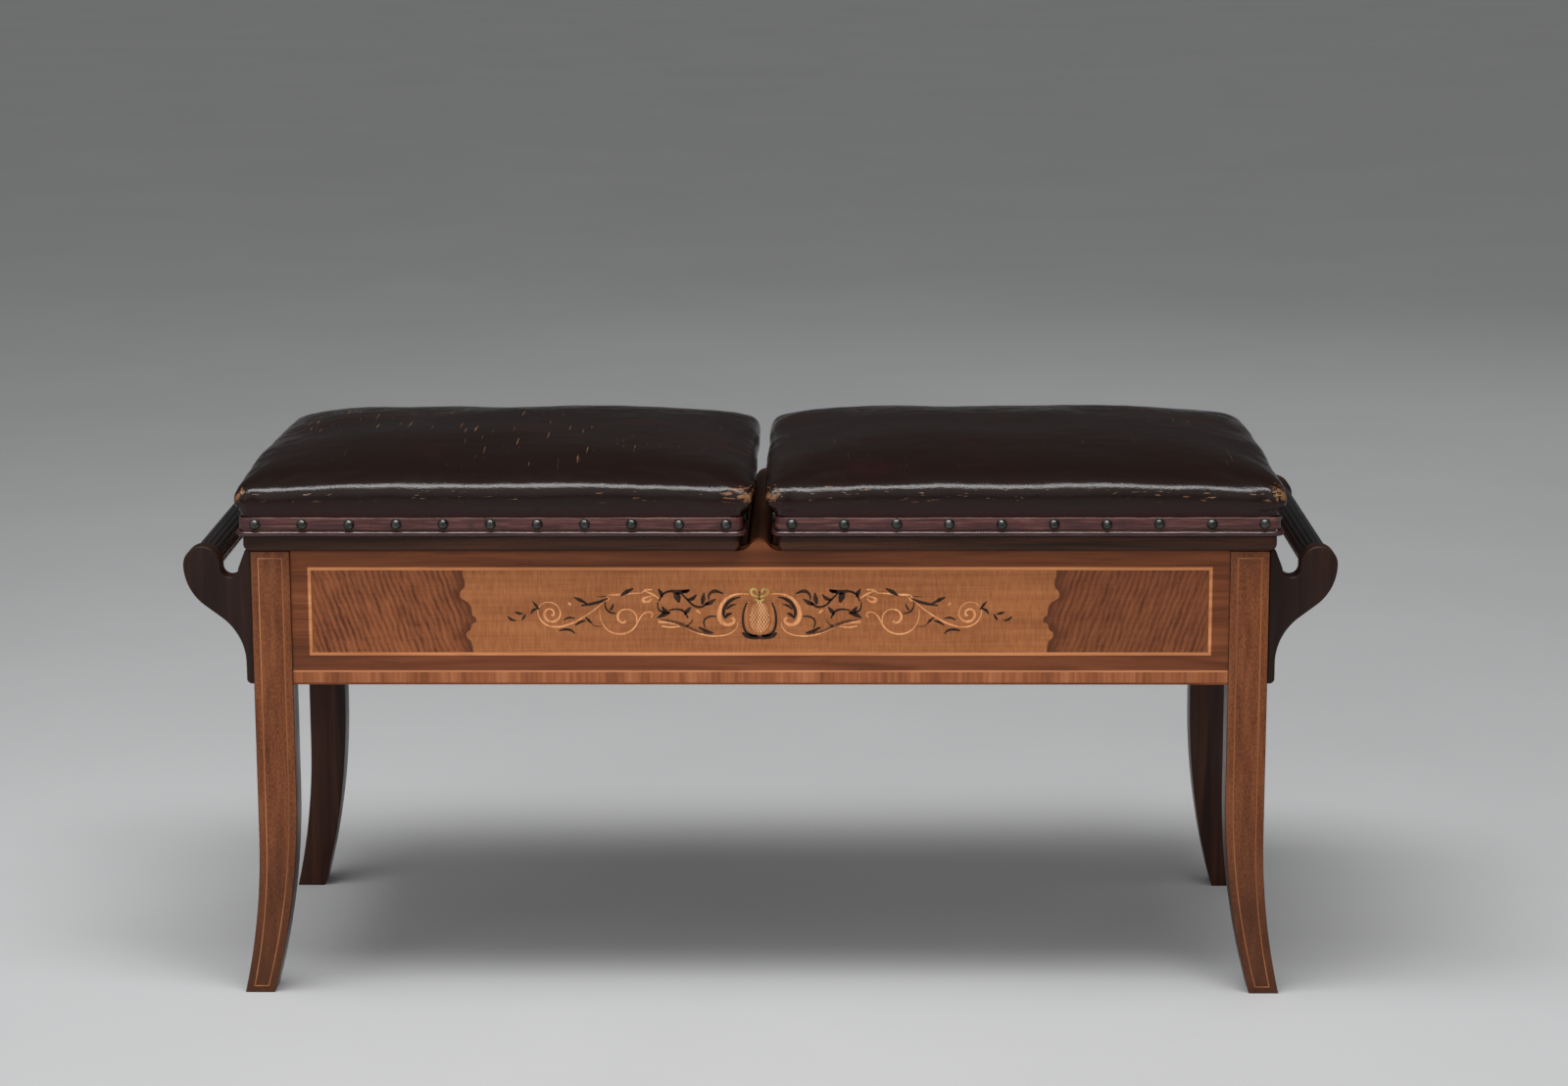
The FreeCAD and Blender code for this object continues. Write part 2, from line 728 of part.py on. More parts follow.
def make_stuffing(name, side):
    stuffing = doc.addObject("Part::Feature", name)
    filling = cushion(side, value("leather_thickness + stuffing_gap"))
    x_low, x_high = sorted((0, side * value("leg_span")))
    deep = value("body_depth")
    board_top = value(f"{seat_top} + pad_board_thickness")
    below = Part.makeBox(x_high - x_low, 2 * deep, board_top, FreeCAD.Vector(x_low, -deep, 0))
    stuffing.Shape = filling.cut(below)
    return keep(name, stuffing)


def nail_shape(facets=6):
    """A dome nail's head on the XY plane, as a low frustum."""
    levels = []
    for radius, height in (("nail_radius", "0"), ("nail_crown_radius", "nail_height")):
        spots = []
        for step in range(facets):
            turn = 2 * math.pi * step / facets
            spots.append(FreeCAD.Vector(math.cos(turn), math.sin(turn), 0) * value(radius))
            spots[-1].z = value(height)
        levels.append(spots)
    return faceted_solid(levels)


def make_nails(name, side, across_count):
    stand = value("leather_stand + band_thickness")
    near, far = sorted((side * (value(seat_inner) - stand), side * (value(seat_outer) + stand)))
    deep = value(seat_front) + stand
    height = value(f"{seat_top} + {band_lift} + band_height / 2")
    margin = value("nail_margin")
    deep_count = int(value("nails_deep"))
    heads = []

    def head(x, y, turn):
        shape = nail_shape()
        shape.rotate(FreeCAD.Vector(0, 0, 0), FreeCAD.Vector(1, 0, 0), 90)
        shape.rotate(FreeCAD.Vector(0, 0, 0), FreeCAD.Vector(0, 0, 1), turn)
        shape.translate(FreeCAD.Vector(x, y, height))
        heads.append(shape)

    for step in range(across_count):
        x = near + margin + (far - near - 2 * margin) * step / (across_count - 1)
        head(x, -deep, 0)
        head(x, deep, 180)
    for step in range(deep_count):
        y = -deep + margin + (2 * deep - 2 * margin) * (step + 0.5) / deep_count
        head(far, y, 90)
        head(near, y, 270)
    nails = doc.addObject("Part::Feature", name)
    nails.Shape = Part.makeCompound(heads)
    return keep(name, nails)


# Skirts: four boards under each seat, which slide in the base

def make_skirt(prefix, side):
    height = (skirt_bottom, seat_bottom)
    inner_y = f"{skirt_front} - skirt_thickness"
    for row_name, row in rows.items():
        label = f"{prefix}_{row_name}_skirt"
        across = sided(row, inner_y, skirt_front)
        keep(label, box(label, sided(side, skirt_inner, skirt_outer), across, height))
    between = (f"-({inner_y})", inner_y)
    for end_name, start in (("inner", skirt_inner), ("outer", f"({skirt_outer} - skirt_thickness)")):
        label = f"{prefix}_{end_name}_skirt"
        keep(label, box(label, sided(side, start, f"{start} + skirt_thickness"), between, height))


# Ratchet: racks on the skirts, pawls on a cross shaft that turns in bearings on the batten

tooth_tip = f"({middle} - pawl_width / 2 - arm_gap)"
tooth_foot = f"({tooth_tip} - tooth_depth)"
notch_height = "(pivot_height + nose_rise)"
tooth_lean = "tan(tooth_angle * 1 deg)"
notch_low = f"(tooth_depth * {tooth_lean} + tooth_land - tooth_pitch)"
rack_y = f"({skirt_front} - skirt_thickness - rack_thickness / 2)"


def make_rack(name, side, row):
    body = new_body(name)
    bar = sided(side, f"{tooth_foot} - rack_width", tooth_tip)
    upright = (f"{skirt_bottom} + rack_margin", f"{seat_bottom} - rack_margin")
    pad(body, "XZ", "rack_thickness", rectangle(*bar, *upright))
    notch = [
        (f"{side} * {tooth_foot}", notch_height),
        (f"{side} * {tooth_foot}", f"{notch_height} - tooth_root"),
        (f"{side} * {tooth_tip}", f"{notch_height} + {notch_low}"),
        (f"{side} * ({tooth_tip} + overcut)", f"{notch_height} + {notch_low}"),
        (f"{side} * ({tooth_tip} + overcut)", f"{notch_height} + tooth_depth * {tooth_lean}"),
        (f"{side} * {tooth_tip}", f"{notch_height} + tooth_depth * {tooth_lean}"),
    ]
    tooth = cut(body, "XZ", "0", "rack_thickness", notch)
    doc.recompute()
    rack = body.newObject("PartDesign::LinearPattern", name + "_teeth")
    rack.Originals = [tooth]
    rack.Direction = (origin_of(body, "Z_Axis"), [""])
    rack.Reversed = True
    bind(rack, "Length", "tooth_pitch * (tooth_count - 1)")
    bind(rack, "Occurrences", "tooth_count")
    body.Tip = rack
    at(body, y=f"{row} * {rack_y}")
    return keep(name, body)


def make_pawl(name, side, row):
    body = new_body(name)
    half = "pawl_width / 2"
    nose = f"({half} + arm_gap + tooth_depth - nose_gap)"
    fall = f"(({notch_low} + tooth_root) / tooth_depth)"
    top = f"(nose_rise - nose_gap + nose_gap * {tooth_lean})"
    under = f"(nose_rise - tooth_root + nose_gap + nose_gap * {fall})"
    points = [
        ("0", f"-{half}", half, 1),
        (half, "0"),
        (half, f"{top} + ({nose} + {half}) * {tooth_lean}"),
        (f"-{nose}", top),
        (f"-{nose}", under),
        (f"-{half}", f"{under} + ({nose} - {half}) * {fall}"),
        (f"-{half}", "0", half, 1),
    ]
    outline = []
    for point in points:
        place = (f"{side} * ({middle} + {point[0]})", f"pivot_height + {point[1]}")
        outline.append(place + ((point[2], point[3] * side) if len(point) == 4 else ()))
    bore = ("circle", f"{side} * {middle}", "pivot_height", "shaft_radius")
    pad(body, "XZ", "pawl_thickness", outline, bore)
    at(body, y=f"{row} * {rack_y}")
    return keep(name, body)


def make_shaft(name, side):
    """The cross shaft and its release lever, a flat arm that slants down at 45 degrees to a round end."""
    body = new_body(name)
    centre = f"{side} * {middle}"
    pad(body, "XZ", f"2 * {rack_y} + pawl_thickness", ("circle", centre, "pivot_height", "shaft_radius"))
    half = "(lever_width * cos(45 deg) / 2)"
    reach = "(lever_length * cos(45 deg))"
    points = [
        (f"-{half}", f"-{half}"),
        (f"{reach} - {half}", f"-({reach} + {half})", "lever_width / 2", 1),
        (f"{reach} + {half}", f"-({reach} + {half})", "lever_width / 2", 1),
        (f"{reach} + {half}", f"-({reach} - {half})"),
        (half, half),
    ]
    outline = []
    for point in points:
        place = (f"{side} * ({middle} + {point[0]})", f"pivot_height + {point[1]}")
        outline.append(place + ((point[2], point[3] * side) if len(point) == 4 else ()))
    pad(body, "XZ", "lever_thickness", outline)
    return keep(name, body)


def make_bearings(name, side):
    """Two upright plates on the batten that carry the shaft."""
    plates = []
    top = "(shaft_radius + bearing_wall)"
    for row_name, row in rows.items():
        body = new_body(f"{name}_{row_name}")
        plate = [
            (f"{side} * {middle} - bearing_foot / 2", batten_top),
            (f"{side} * {middle} + bearing_foot / 2", batten_top),
            (f"{side} * {middle} + {top}", "pivot_height", top, 1),
            (f"{side} * {middle}", f"pivot_height + {top}", top, 1),
            (f"{side} * {middle} - {top}", "pivot_height"),
        ]
        bore = ("circle", f"{side} * {middle}", "pivot_height", "shaft_radius + shaft_clearance")
        pad(body, "XZ", "bearing_thickness", plate, bore)
        at(body, y=f"{row} * ({rack_y} - bearing_inset)")
        plates.append(body)
    return group(name, plates)


def make_spring(name, side):
    """A leaf screwed to the batten, whose free end bears up against the release lever."""
    body = new_body(name)
    knee = "batten_width / 2 - spring_margin"
    tip = "(pivot_height - spring_reach - lever_width / sqrt(2) - nose_gap - spring_thickness)"
    points = [
        ("0", batten_top),
        (knee, batten_top),
        ("spring_reach", f"{tip} - spring_thickness / 2"),
        ("spring_reach", f"{tip} + spring_thickness"),
        (knee, f"{batten_top} + spring_thickness"),
        ("0", f"{batten_top} + spring_thickness"),
    ]
    outline = [(f"{side} * ({middle} + {across})", up) for across, up in points]
    pad(body, "XZ", "spring_width", outline)
    return keep(name, body)


for side_name, side in sides.items():
    for row_name, row in rows.items():
        make_leg(f"{row_name}_{side_name}_leg", side, row)
        make_bracket(f"{row_name}_{side_name}_bracket", side, row)
    make_end_rail(f"{side_name}_end_rail", side)
    make_grip(f"{side_name}_grip", side)
    make_batten(f"{side_name}_batten", side)
    make_guides(f"{side_name}_guide_strips", side)
    make_bearings(f"{side_name}_shaft_bearings", side)
    make_spring(f"{side_name}_pawl_spring", side)
    make_shaft(f"{side_name}_pawl_shaft", side)
    for row_name, row in rows.items():
        make_pawl(f"{side_name}_{row_name}_pawl", side, row)
        make_rack(f"{side_name}_{row_name}_rack", side, row)
    seat = f"{side_name}_seat"
    make_seat_board(f"{seat}_board", side)
    make_pad_board(f"{seat}_pad_board", side)
    make_stuffing(f"{seat}_stuffing", side)
    make_cover(f"{seat}_cover", side)
    make_ring(f"{seat}_band", side, "leather_stand", "band_thickness", "band_height", band_lift)
    make_welt(f"{seat}_welt", side)
    make_nails(f"{seat}_nails", side, SIZES[f"{side_name}_nails_across"])
    make_skirt(seat, side)
for row_name, row in rows.items():
    make_long_rail(f"{row_name}_rail", row)
make_bearer()
make_inlay()

doc.recompute()
faults = [thing.Label for thing in doc.Objects if {"Invalid", "Error"} & set(thing.State)]
faults += [label for label, thing in nodes.items() if thing.Shape.isNull() or not thing.Shape.isValid()]
if faults:
    raise RuntimeError("failed pieces: " + ", ".join(faults))
os.makedirs("parts", exist_ok=True)
for label, thing in nodes.items():
    thing.Shape.exportStep(f"parts/{label}.step")
    print(f"{label}: {len(thing.Shape.Solids)} solid(s), {thing.Shape.Volume / 1000:.1f} cm3")
print(len(nodes), "nodes")
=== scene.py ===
import bpy
import json
import math
from mathutils import Matrix, Vector, noise

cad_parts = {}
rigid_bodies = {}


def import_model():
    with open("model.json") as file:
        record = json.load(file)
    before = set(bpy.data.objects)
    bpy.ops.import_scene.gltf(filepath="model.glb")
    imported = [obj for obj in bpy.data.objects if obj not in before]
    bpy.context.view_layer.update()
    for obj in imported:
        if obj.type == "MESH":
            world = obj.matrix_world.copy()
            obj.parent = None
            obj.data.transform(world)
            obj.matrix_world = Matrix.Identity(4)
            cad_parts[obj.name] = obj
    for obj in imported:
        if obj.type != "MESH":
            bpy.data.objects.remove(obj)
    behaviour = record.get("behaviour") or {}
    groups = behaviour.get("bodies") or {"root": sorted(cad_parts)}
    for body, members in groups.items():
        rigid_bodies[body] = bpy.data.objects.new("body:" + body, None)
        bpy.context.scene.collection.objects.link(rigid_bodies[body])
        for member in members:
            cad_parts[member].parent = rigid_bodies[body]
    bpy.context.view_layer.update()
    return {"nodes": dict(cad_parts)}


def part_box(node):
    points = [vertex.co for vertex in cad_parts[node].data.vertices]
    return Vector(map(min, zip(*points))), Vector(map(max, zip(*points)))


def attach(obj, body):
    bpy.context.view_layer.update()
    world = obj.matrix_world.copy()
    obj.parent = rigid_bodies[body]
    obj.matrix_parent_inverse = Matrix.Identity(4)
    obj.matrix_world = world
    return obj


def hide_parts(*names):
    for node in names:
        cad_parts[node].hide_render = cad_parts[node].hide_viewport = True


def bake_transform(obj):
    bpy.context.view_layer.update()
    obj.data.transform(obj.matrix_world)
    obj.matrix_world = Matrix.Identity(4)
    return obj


for leftover in list(bpy.data.objects):
    bpy.data.objects.remove(leftover)
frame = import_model()
cadNodes = frame["nodes"]
sides = {"left": -1, "right": 1}
rows = {"front": -1, "back": 1}
print("frame loaded:", len(cadNodes), "pieces")


# Small tools for modelling

def deselectAll():
    bpy.ops.object.select_all(action="DESELECT")


def backToObject():
    bpy.ops.object.mode_set(mode="OBJECT")


def makeActive(piece):
    if bpy.context.mode != "OBJECT":
        backToObject()
    deselectAll()
    piece.select_set(True)
    bpy.context.view_layer.objects.active = piece


def pick(piece, kind, test):
    # leaves the piece in edit mode with only the tested edges or faces selected
    makeActive(piece)
    bpy.ops.object.mode_set(mode="EDIT")
    bpy.ops.mesh.select_mode(type=kind)
    bpy.ops.mesh.select_all(action="DESELECT")
    backToObject()
    for item in piece.data.edges if kind == "EDGE" else piece.data.polygons:
        item.select = test(item)
    bpy.ops.object.mode_set(mode="EDIT")


def editAll(piece):
    # leaves the piece in edit mode with everything selected
    makeActive(piece)
    bpy.ops.object.mode_set(mode="EDIT")
    bpy.ops.mesh.select_all(action="SELECT")


def faceOutwards(piece):
    editAll(piece)
    bpy.ops.mesh.normals_make_consistent(inside=False)
    backToObject()


def newPiece(name, data):
    piece = bpy.data.objects.new(name, data)
    bpy.context.collection.objects.link(piece)
    return piece


def corners(node):
    return [Vector(corner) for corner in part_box(node)]


meshCare = {"merge": 0.00002, "flat": math.radians(0.5)}


def mergedCopy(node, name, flatten=True):
    piece = newPiece(name, cadNodes[node].data.copy())
    editAll(piece)
    bpy.ops.mesh.remove_doubles(threshold=meshCare["merge"])
    if flatten:
        bpy.ops.mesh.dissolve_limited(angle_limit=meshCare["flat"])
    backToObject()
    return piece


def curveToMesh(name, curve):
    makeActive(newPiece(name, curve))
    bpy.ops.object.convert(target="MESH")
    return bpy.context.active_object


def settle(piece):
    # put place, turn and scale into the mesh
    makeActive(piece)
    bpy.ops.object.transform_apply(location=True, rotation=True, scale=True)


def addModifier(piece, kind, **values):
    makeActive(piece)
    modifier = piece.modifiers.new(kind.lower(), kind)
    for key, value in values.items():
        setattr(modifier, key, value)
    bpy.ops.object.modifier_apply(modifier=modifier.name)


def smoothByAngle(piece, degrees=35):
    makeActive(piece)
    bpy.ops.object.shade_smooth_by_angle(angle=math.radians(degrees))


def joinAll(pieces, name):
    deselectAll()
    for piece in pieces:
        piece.select_set(True)
    bpy.context.view_layer.objects.active = pieces[0]
    bpy.ops.object.join()
    joined = bpy.context.view_layer.objects.active
    joined.name = name
    joined.data.name = name
    return joined


def dress(piece, material):
    piece.data.materials.clear()
    piece.data.materials.append(material)


def enterBody(piece, body, slot, material, *replaced):
    dress(piece, material)
    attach(piece, body)
    if replaced:
        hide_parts(*replaced)


# Small tools for materials: each works on the node tree that is on the bench
bench = {"tree": None}


def feed(socket, value):
    if isinstance(value, bpy.types.NodeSocket):
        bench["tree"].links.new(value, socket)
    else:
        socket.default_value = value


def put(kind, settings=None, **inputs):
    node = bench["tree"].nodes.new("ShaderNode" + kind)
    for key, value in (settings or {}).items():
        setattr(node, key, value)
    for key, value in inputs.items():
        feed(node.inputs[key if key in node.inputs else key.replace("_", " ")], value)
    return node


def plug(value, shader, name):
    feed(shader.inputs[name], value)


def calc(operation, first, second=0.0, clamp=False):
    node = put("Math", {"operation": operation, "use_clamp": clamp})
    feed(node.inputs[0], first)
    feed(node.inputs[1], second)
    return node.outputs[0]


def times(first, second):
    return calc("MULTIPLY", first, second)


def weigh(first, *others):
    # values added up, each by its share
    total = times(*first)
    for other in others:
        total = calc("ADD", total, times(*other))
    return total


def remap(value, low, high, start=0.0, end=1.0):
    return put("MapRange", {"interpolation_type": "SMOOTHSTEP"}, Value=value, From_Min=low, From_Max=high,
               To_Min=start, To_Max=end).outputs["Result"]


def inBand(value, rise, fall):
    return times(remap(value, *rise), remap(value, *fall))


def ramp(factor, places, colours):
    node = put("ValToRGB", Fac=factor)
    elements = node.color_ramp.elements
    while len(elements) < len(places):
        elements.new(0.5)
    for element, place, colour in zip(elements, places, colours):
        element.position = place
        element.color = (*colour, 1)
    return node.outputs["Color"]


def blendColour(factor, first, second, how="MIX"):
    node = put("Mix", {"data_type": "RGBA", "blend_type": how})
    sockets = {socket.identifier: socket for socket in node.inputs}
    feed(sockets["Factor_Float"], factor)
    for name, colour in (("A_Color", first), ("B_Color", second)):
        feed(sockets[name], (*colour, 1) if isinstance(colour, tuple) else colour)
    return next(socket for socket in node.outputs if socket.identifier == "Result_Color")


def noiseOn(vector, scale, detail=4.0, roughness=0.55, distortion=0.0):
    return put("TexNoise", Vector=vector, Scale=scale, Detail=detail, Roughness=roughness,
               Distortion=distortion).outputs["Fac"]


def stretched(vector, scale, turn=(0, 0, 0)):
    return put("Mapping", Vector=vector, Scale=scale, Rotation=turn).outputs["Vector"]


def streaked(vector, scale, *quality):
    return noiseOn(stretched(vector, scale), 1.0, *quality)


def newMaterial(name):
    material = bpy.data.materials.new(name)
    material.use_nodes = True
    bench["tree"] = material.node_tree
    return material, material.node_tree.nodes["Principled BSDF"], put("TexCoord").outputs["Object"]


def finishBump(shader, height, strength, distance):
    plug(put("Bump", Height=height, Strength=strength, Distance=distance).outputs["Normal"], shader, "Normal")


def newGroup(name, label, default, outputs):
    # a group that reads a place and one setting
    group = bpy.data.node_groups.new(name, "ShaderNodeTree")
    group.interface.new_socket("Vector", in_out="INPUT", socket_type="NodeSocketVector")
    group.interface.new_socket(label, in_out="INPUT", socket_type="NodeSocketFloat").default_value = default
    for output in outputs:
        group.interface.new_socket(output, in_out="OUTPUT", socket_type="NodeSocketFloat")
    bench["tree"] = group
    start = group.nodes.new("NodeGroupInput").outputs
    return group, start["Vector"], start[label], group.nodes.new("NodeGroupOutput")


def useGroup(group, **inputs):
    return put("Group", {"node_tree": group}, **inputs).outputs


# Grain of polished wood: long grain, open pores and cloudy patches
woodGrain, place, wander, end = newGroup("woodGrain", "Wander", 0.8, ["Grain", "Pores", "Clouds"])
plug(remap(noiseOn(place, 1.0, 7.0, 0.62, wander), 0.28, 0.72), end, "Grain")
plug(remap(noiseOn(place, 6.0, 2.0, 0.5), 0.60, 0.72), end, "Pores")
plug(remap(noiseOn(place, 0.22, 2.0, 0.5, 0.4), 0.3, 0.7), end, "Clouds")

# Old French polish: rubbed and dull patches, and grime
agedPolish, place, gloss, end = newGroup("agedPolish", "Gloss", 0.3, ["Roughness", "Grime"])
dullness = remap(noiseOn(place, 14.0, 5.0, 0.6), 0.35, 0.75, 0.0, 0.16)
plug(calc("ADD", gloss, dullness), end, "Roughness")
plug(remap(noiseOn(place, 5.0, 6.0, 0.65), 0.5, 0.8), end, "Grime")
woodFinish = {"specular": 0.22, "coat": 0.04, "coatRoughness": 0.18, "poreStrength": 0.12,
              "poreDepth": 0.0002}


def finishWood(shader, colour, polish, height, strength=woodFinish["poreStrength"], coat=woodFinish["coat"],
               coatRoughness=woodFinish["coatRoughness"]):
    plug(colour, shader, "Base Color")
    plug(polish["Roughness"], shader, "Roughness")
    plug(woodFinish["specular"], shader, "Specular IOR Level")
    plug(coat, shader, "Coat Weight")
    plug(coatRoughness, shader, "Coat Roughness")
    finishBump(shader, height, strength, woodFinish["poreDepth"])


def polishedWood(name, stretch, tones, gloss=0.3, wander=0.8, coat=woodFinish["coat"]):
    material, shader, place = newMaterial(name)
    grain = useGroup(woodGrain, Vector=stretched(place, stretch), Wander=wander)
    polish = useGroup(agedPolish, Vector=place, Gloss=gloss)
    dark, middle = tones[:2]
    colour = ramp(grain["Grain"], (0.0, 0.5, 1.0), tones)
    colour = blendColour(times(grain["Pores"], 0.55), colour, dark)
    colour = blendColour(times(grain["Clouds"], 0.35), colour, middle, "MULTIPLY")
    colour = blendColour(times(polish["Grime"], 0.3), colour, dark)
    finishWood(shader, colour, polish, calc("SUBTRACT", 1.0, grain["Pores"]), coat=coat)
    return material


# dark, middle and light tone of each wood
woodTones = {
    "rail": ((0.085, 0.025, 0.009), (0.165, 0.048, 0.017), (0.225, 0.070, 0.026)),
    # painted shade: these darkened tones stand for the shade on the legs' sides and backs and on the back
    # legs
    "shade": ((0.011, 0.003, 0.002), (0.030, 0.009, 0.004), (0.055, 0.017, 0.007)),
    "bracket": ((0.014, 0.005, 0.003), (0.020, 0.008, 0.005), (0.030, 0.011, 0.006)),
    "board": ((0.016, 0.006, 0.003), (0.045, 0.016, 0.008), (0.080, 0.029, 0.014)),
    "ebonised": ((0.003, 0.003, 0.003), (0.007, 0.006, 0.006), (0.015, 0.012, 0.010)),
    # the dark stained tone is a real stain on the seat skirts; on the centre bearer the same tone is painted
    # shade for the dark gap between the seats
    "stainedAndShade": ((0.020, 0.007, 0.004), (0.046, 0.016, 0.008), (0.075, 0.027, 0.012)),
    "deal": ((0.13, 0.075, 0.04), (0.24, 0.15, 0.085), (0.33, 0.22, 0.13)),
    "string": ((0.40, 0.150, 0.055), (0.56, 0.225, 0.088), (0.68, 0.30, 0.13)),
    "legString": ((0.22, 0.080, 0.028), (0.34, 0.130, 0.048), (0.43, 0.18, 0.074)),
    "paleInlay": ((0.50, 0.215, 0.085), (0.70, 0.325, 0.138), (0.82, 0.43, 0.21)),
    "darkInlay": ((0.012, 0.006, 0.004), (0.028, 0.013, 0.008), (0.055, 0.024, 0.013)),
    "brownInlay": ((0.075, 0.028, 0.012), (0.130, 0.050, 0.021), (0.20, 0.082, 0.034)),
    "greenInlay": ((0.26, 0.17, 0.050), (0.46, 0.31, 0.090), (0.60, 0.43, 0.15)),
    "legFront": ((0.080, 0.023, 0.008), (0.145, 0.044, 0.015), (0.215, 0.073, 0.026)),
    "panelGold": ((0.215, 0.072, 0.023), (0.315, 0.111, 0.038), (0.410, 0.157, 0.057)),
    "panelEnd": ((0.080, 0.023, 0.009), (0.210, 0.064, 0.023), (0.310, 0.102, 0.039)),
    "crossband": ((0.165, 0.048, 0.017), (0.275, 0.088, 0.033), (0.39, 0.145, 0.060)),
}
alongX = (3.0, 70, 70)
alongY = (70, 3.0, 70)
alongZ = (70, 70, 3.0)
inlayGrain = (160, 160, 25)
woodKinds = {
    "railMahogany": (alongX, "rail", {"gloss": 0.27}),
    "endMahogany": (alongY, "rail", {}),
    "bracketMahogany": (alongZ, "bracket", {"wander": 1.4}),
    "seatBoardMahogany": (alongX, "board", {"gloss": 0.28}),
    # painted shade: the bearer takes the dark stained tone so the gap between the seats reads dark
    "bearerShadedMahogany": (alongY, "stainedAndShade", {"gloss": 0.42, "coat": 0.0}),
    "ebonisedGrip": (alongY, "ebonised", {"gloss": 0.26, "coat": 0.5}),
    "plainDeal": (alongX, "deal", {"gloss": 0.6, "coat": 0.0}),
    "stainedSkirt": (alongX, "stainedAndShade", {"gloss": 0.42, "coat": 0.0}),
    "stainedSkirtAcross": (alongY, "stainedAndShade", {"gloss": 0.42, "coat": 0.0}),
    "plainDealUpright": (alongZ, "deal", {"gloss": 0.6, "coat": 0.0}),
    "stringing": (alongX, "string", {"gloss": 0.28}),
    "stringingUpright": (alongZ, "legString", {"gloss": 0.28}),
}
for name in ("paleInlay", "darkInlay", "brownInlay", "greenInlay"):
    woodKinds[name] = (inlayGrain, name, {})
woods = {name: polishedWood(name, grain, woodTones[tone], **finish)
         for name, (grain, tone, finish) in woodKinds.items()}
print("plain woods made")


# Legs: mahogany at the sides and back in dark tones that paint shade, the back legs wholly so; a speckled
# veneer on the front face
legVeneer = {"foot": (0.045, 0.014, 0.006), "darkeningTop": 0.22, "frontLeg": (-0.18, -0.195),
             "facing": (0.75, 0.92)}


def makeLegWood():
    material, shader, place = newMaterial("legMahogany")
    grain = useGroup(woodGrain, Vector=stretched(place, alongZ), Wander=0.9)
    polish = useGroup(agedPolish, Vector=place, Gloss=0.3)
    # painted shade: sides, backs and the back legs take the dark shade tones
    plain = ramp(grain["Grain"], (0.0, 0.5, 1.0), woodTones["shade"])
    flecks = noiseOn(stretched(place, (1, 1, 0.45)), 620.0, 3.0, 0.6)
    streaks = streaked(place, (120, 1, 14), 3.0, 0.6, 0.4)
    mixed = weigh((flecks, 0.55), (streaks, 0.45))
    front = ramp(mixed, (0.38, 0.5, 0.66), woodTones["legFront"])
    axes = put("SeparateXYZ", Vector=place).outputs
    # the front veneer turns darker towards the foot, unevenly
    lowDarkening = remap(axes["Z"], 0.0, legVeneer["darkeningTop"], 0.95, 0.0)
    lowDarkening = times(lowDarkening, calc("ADD", polish["Grime"], 0.65, True))
    front = blendColour(lowDarkening, front, legVeneer["foot"])
    facing = put("SeparateXYZ", Vector=put("NewGeometry").outputs["Normal"]).outputs["Y"]
    isFront = remap(times(facing, -1.0), *legVeneer["facing"])
    inFront = remap(axes["Y"], *legVeneer["frontLeg"])
    colour = blendColour(times(isFront, inFront), plain, front)
    finishWood(shader, colour, polish, calc("SUBTRACT", 1.0, grain["Pores"]), coatRoughness=0.2)
    return material


legWood = makeLegWood()

# Front panel: ribbon-figured gold in the middle, rippled dark ends with a ragged edge
panelVeneer = {
    # the joint's course on the left: share of the panel's height from below, and millimetres from the middle
    "joint": ((0.0, 277.2), (0.06, 277.4), (0.13, 278.6), (0.215, 283.2), (0.28, 279.2), (0.35, 277.4),
              (0.375, 273.2), (0.43, 274.2), (0.455, 277.2), (0.52, 277.6), (0.58, 279.2), (0.635, 284.4),
              (0.69, 288.6), (0.745, 287.8), (0.80, 284.2), (0.87, 284.0), (0.94, 285.6), (1.0, 285.4)),
    "nearest": 270.0, "farthest": 292.0,
}


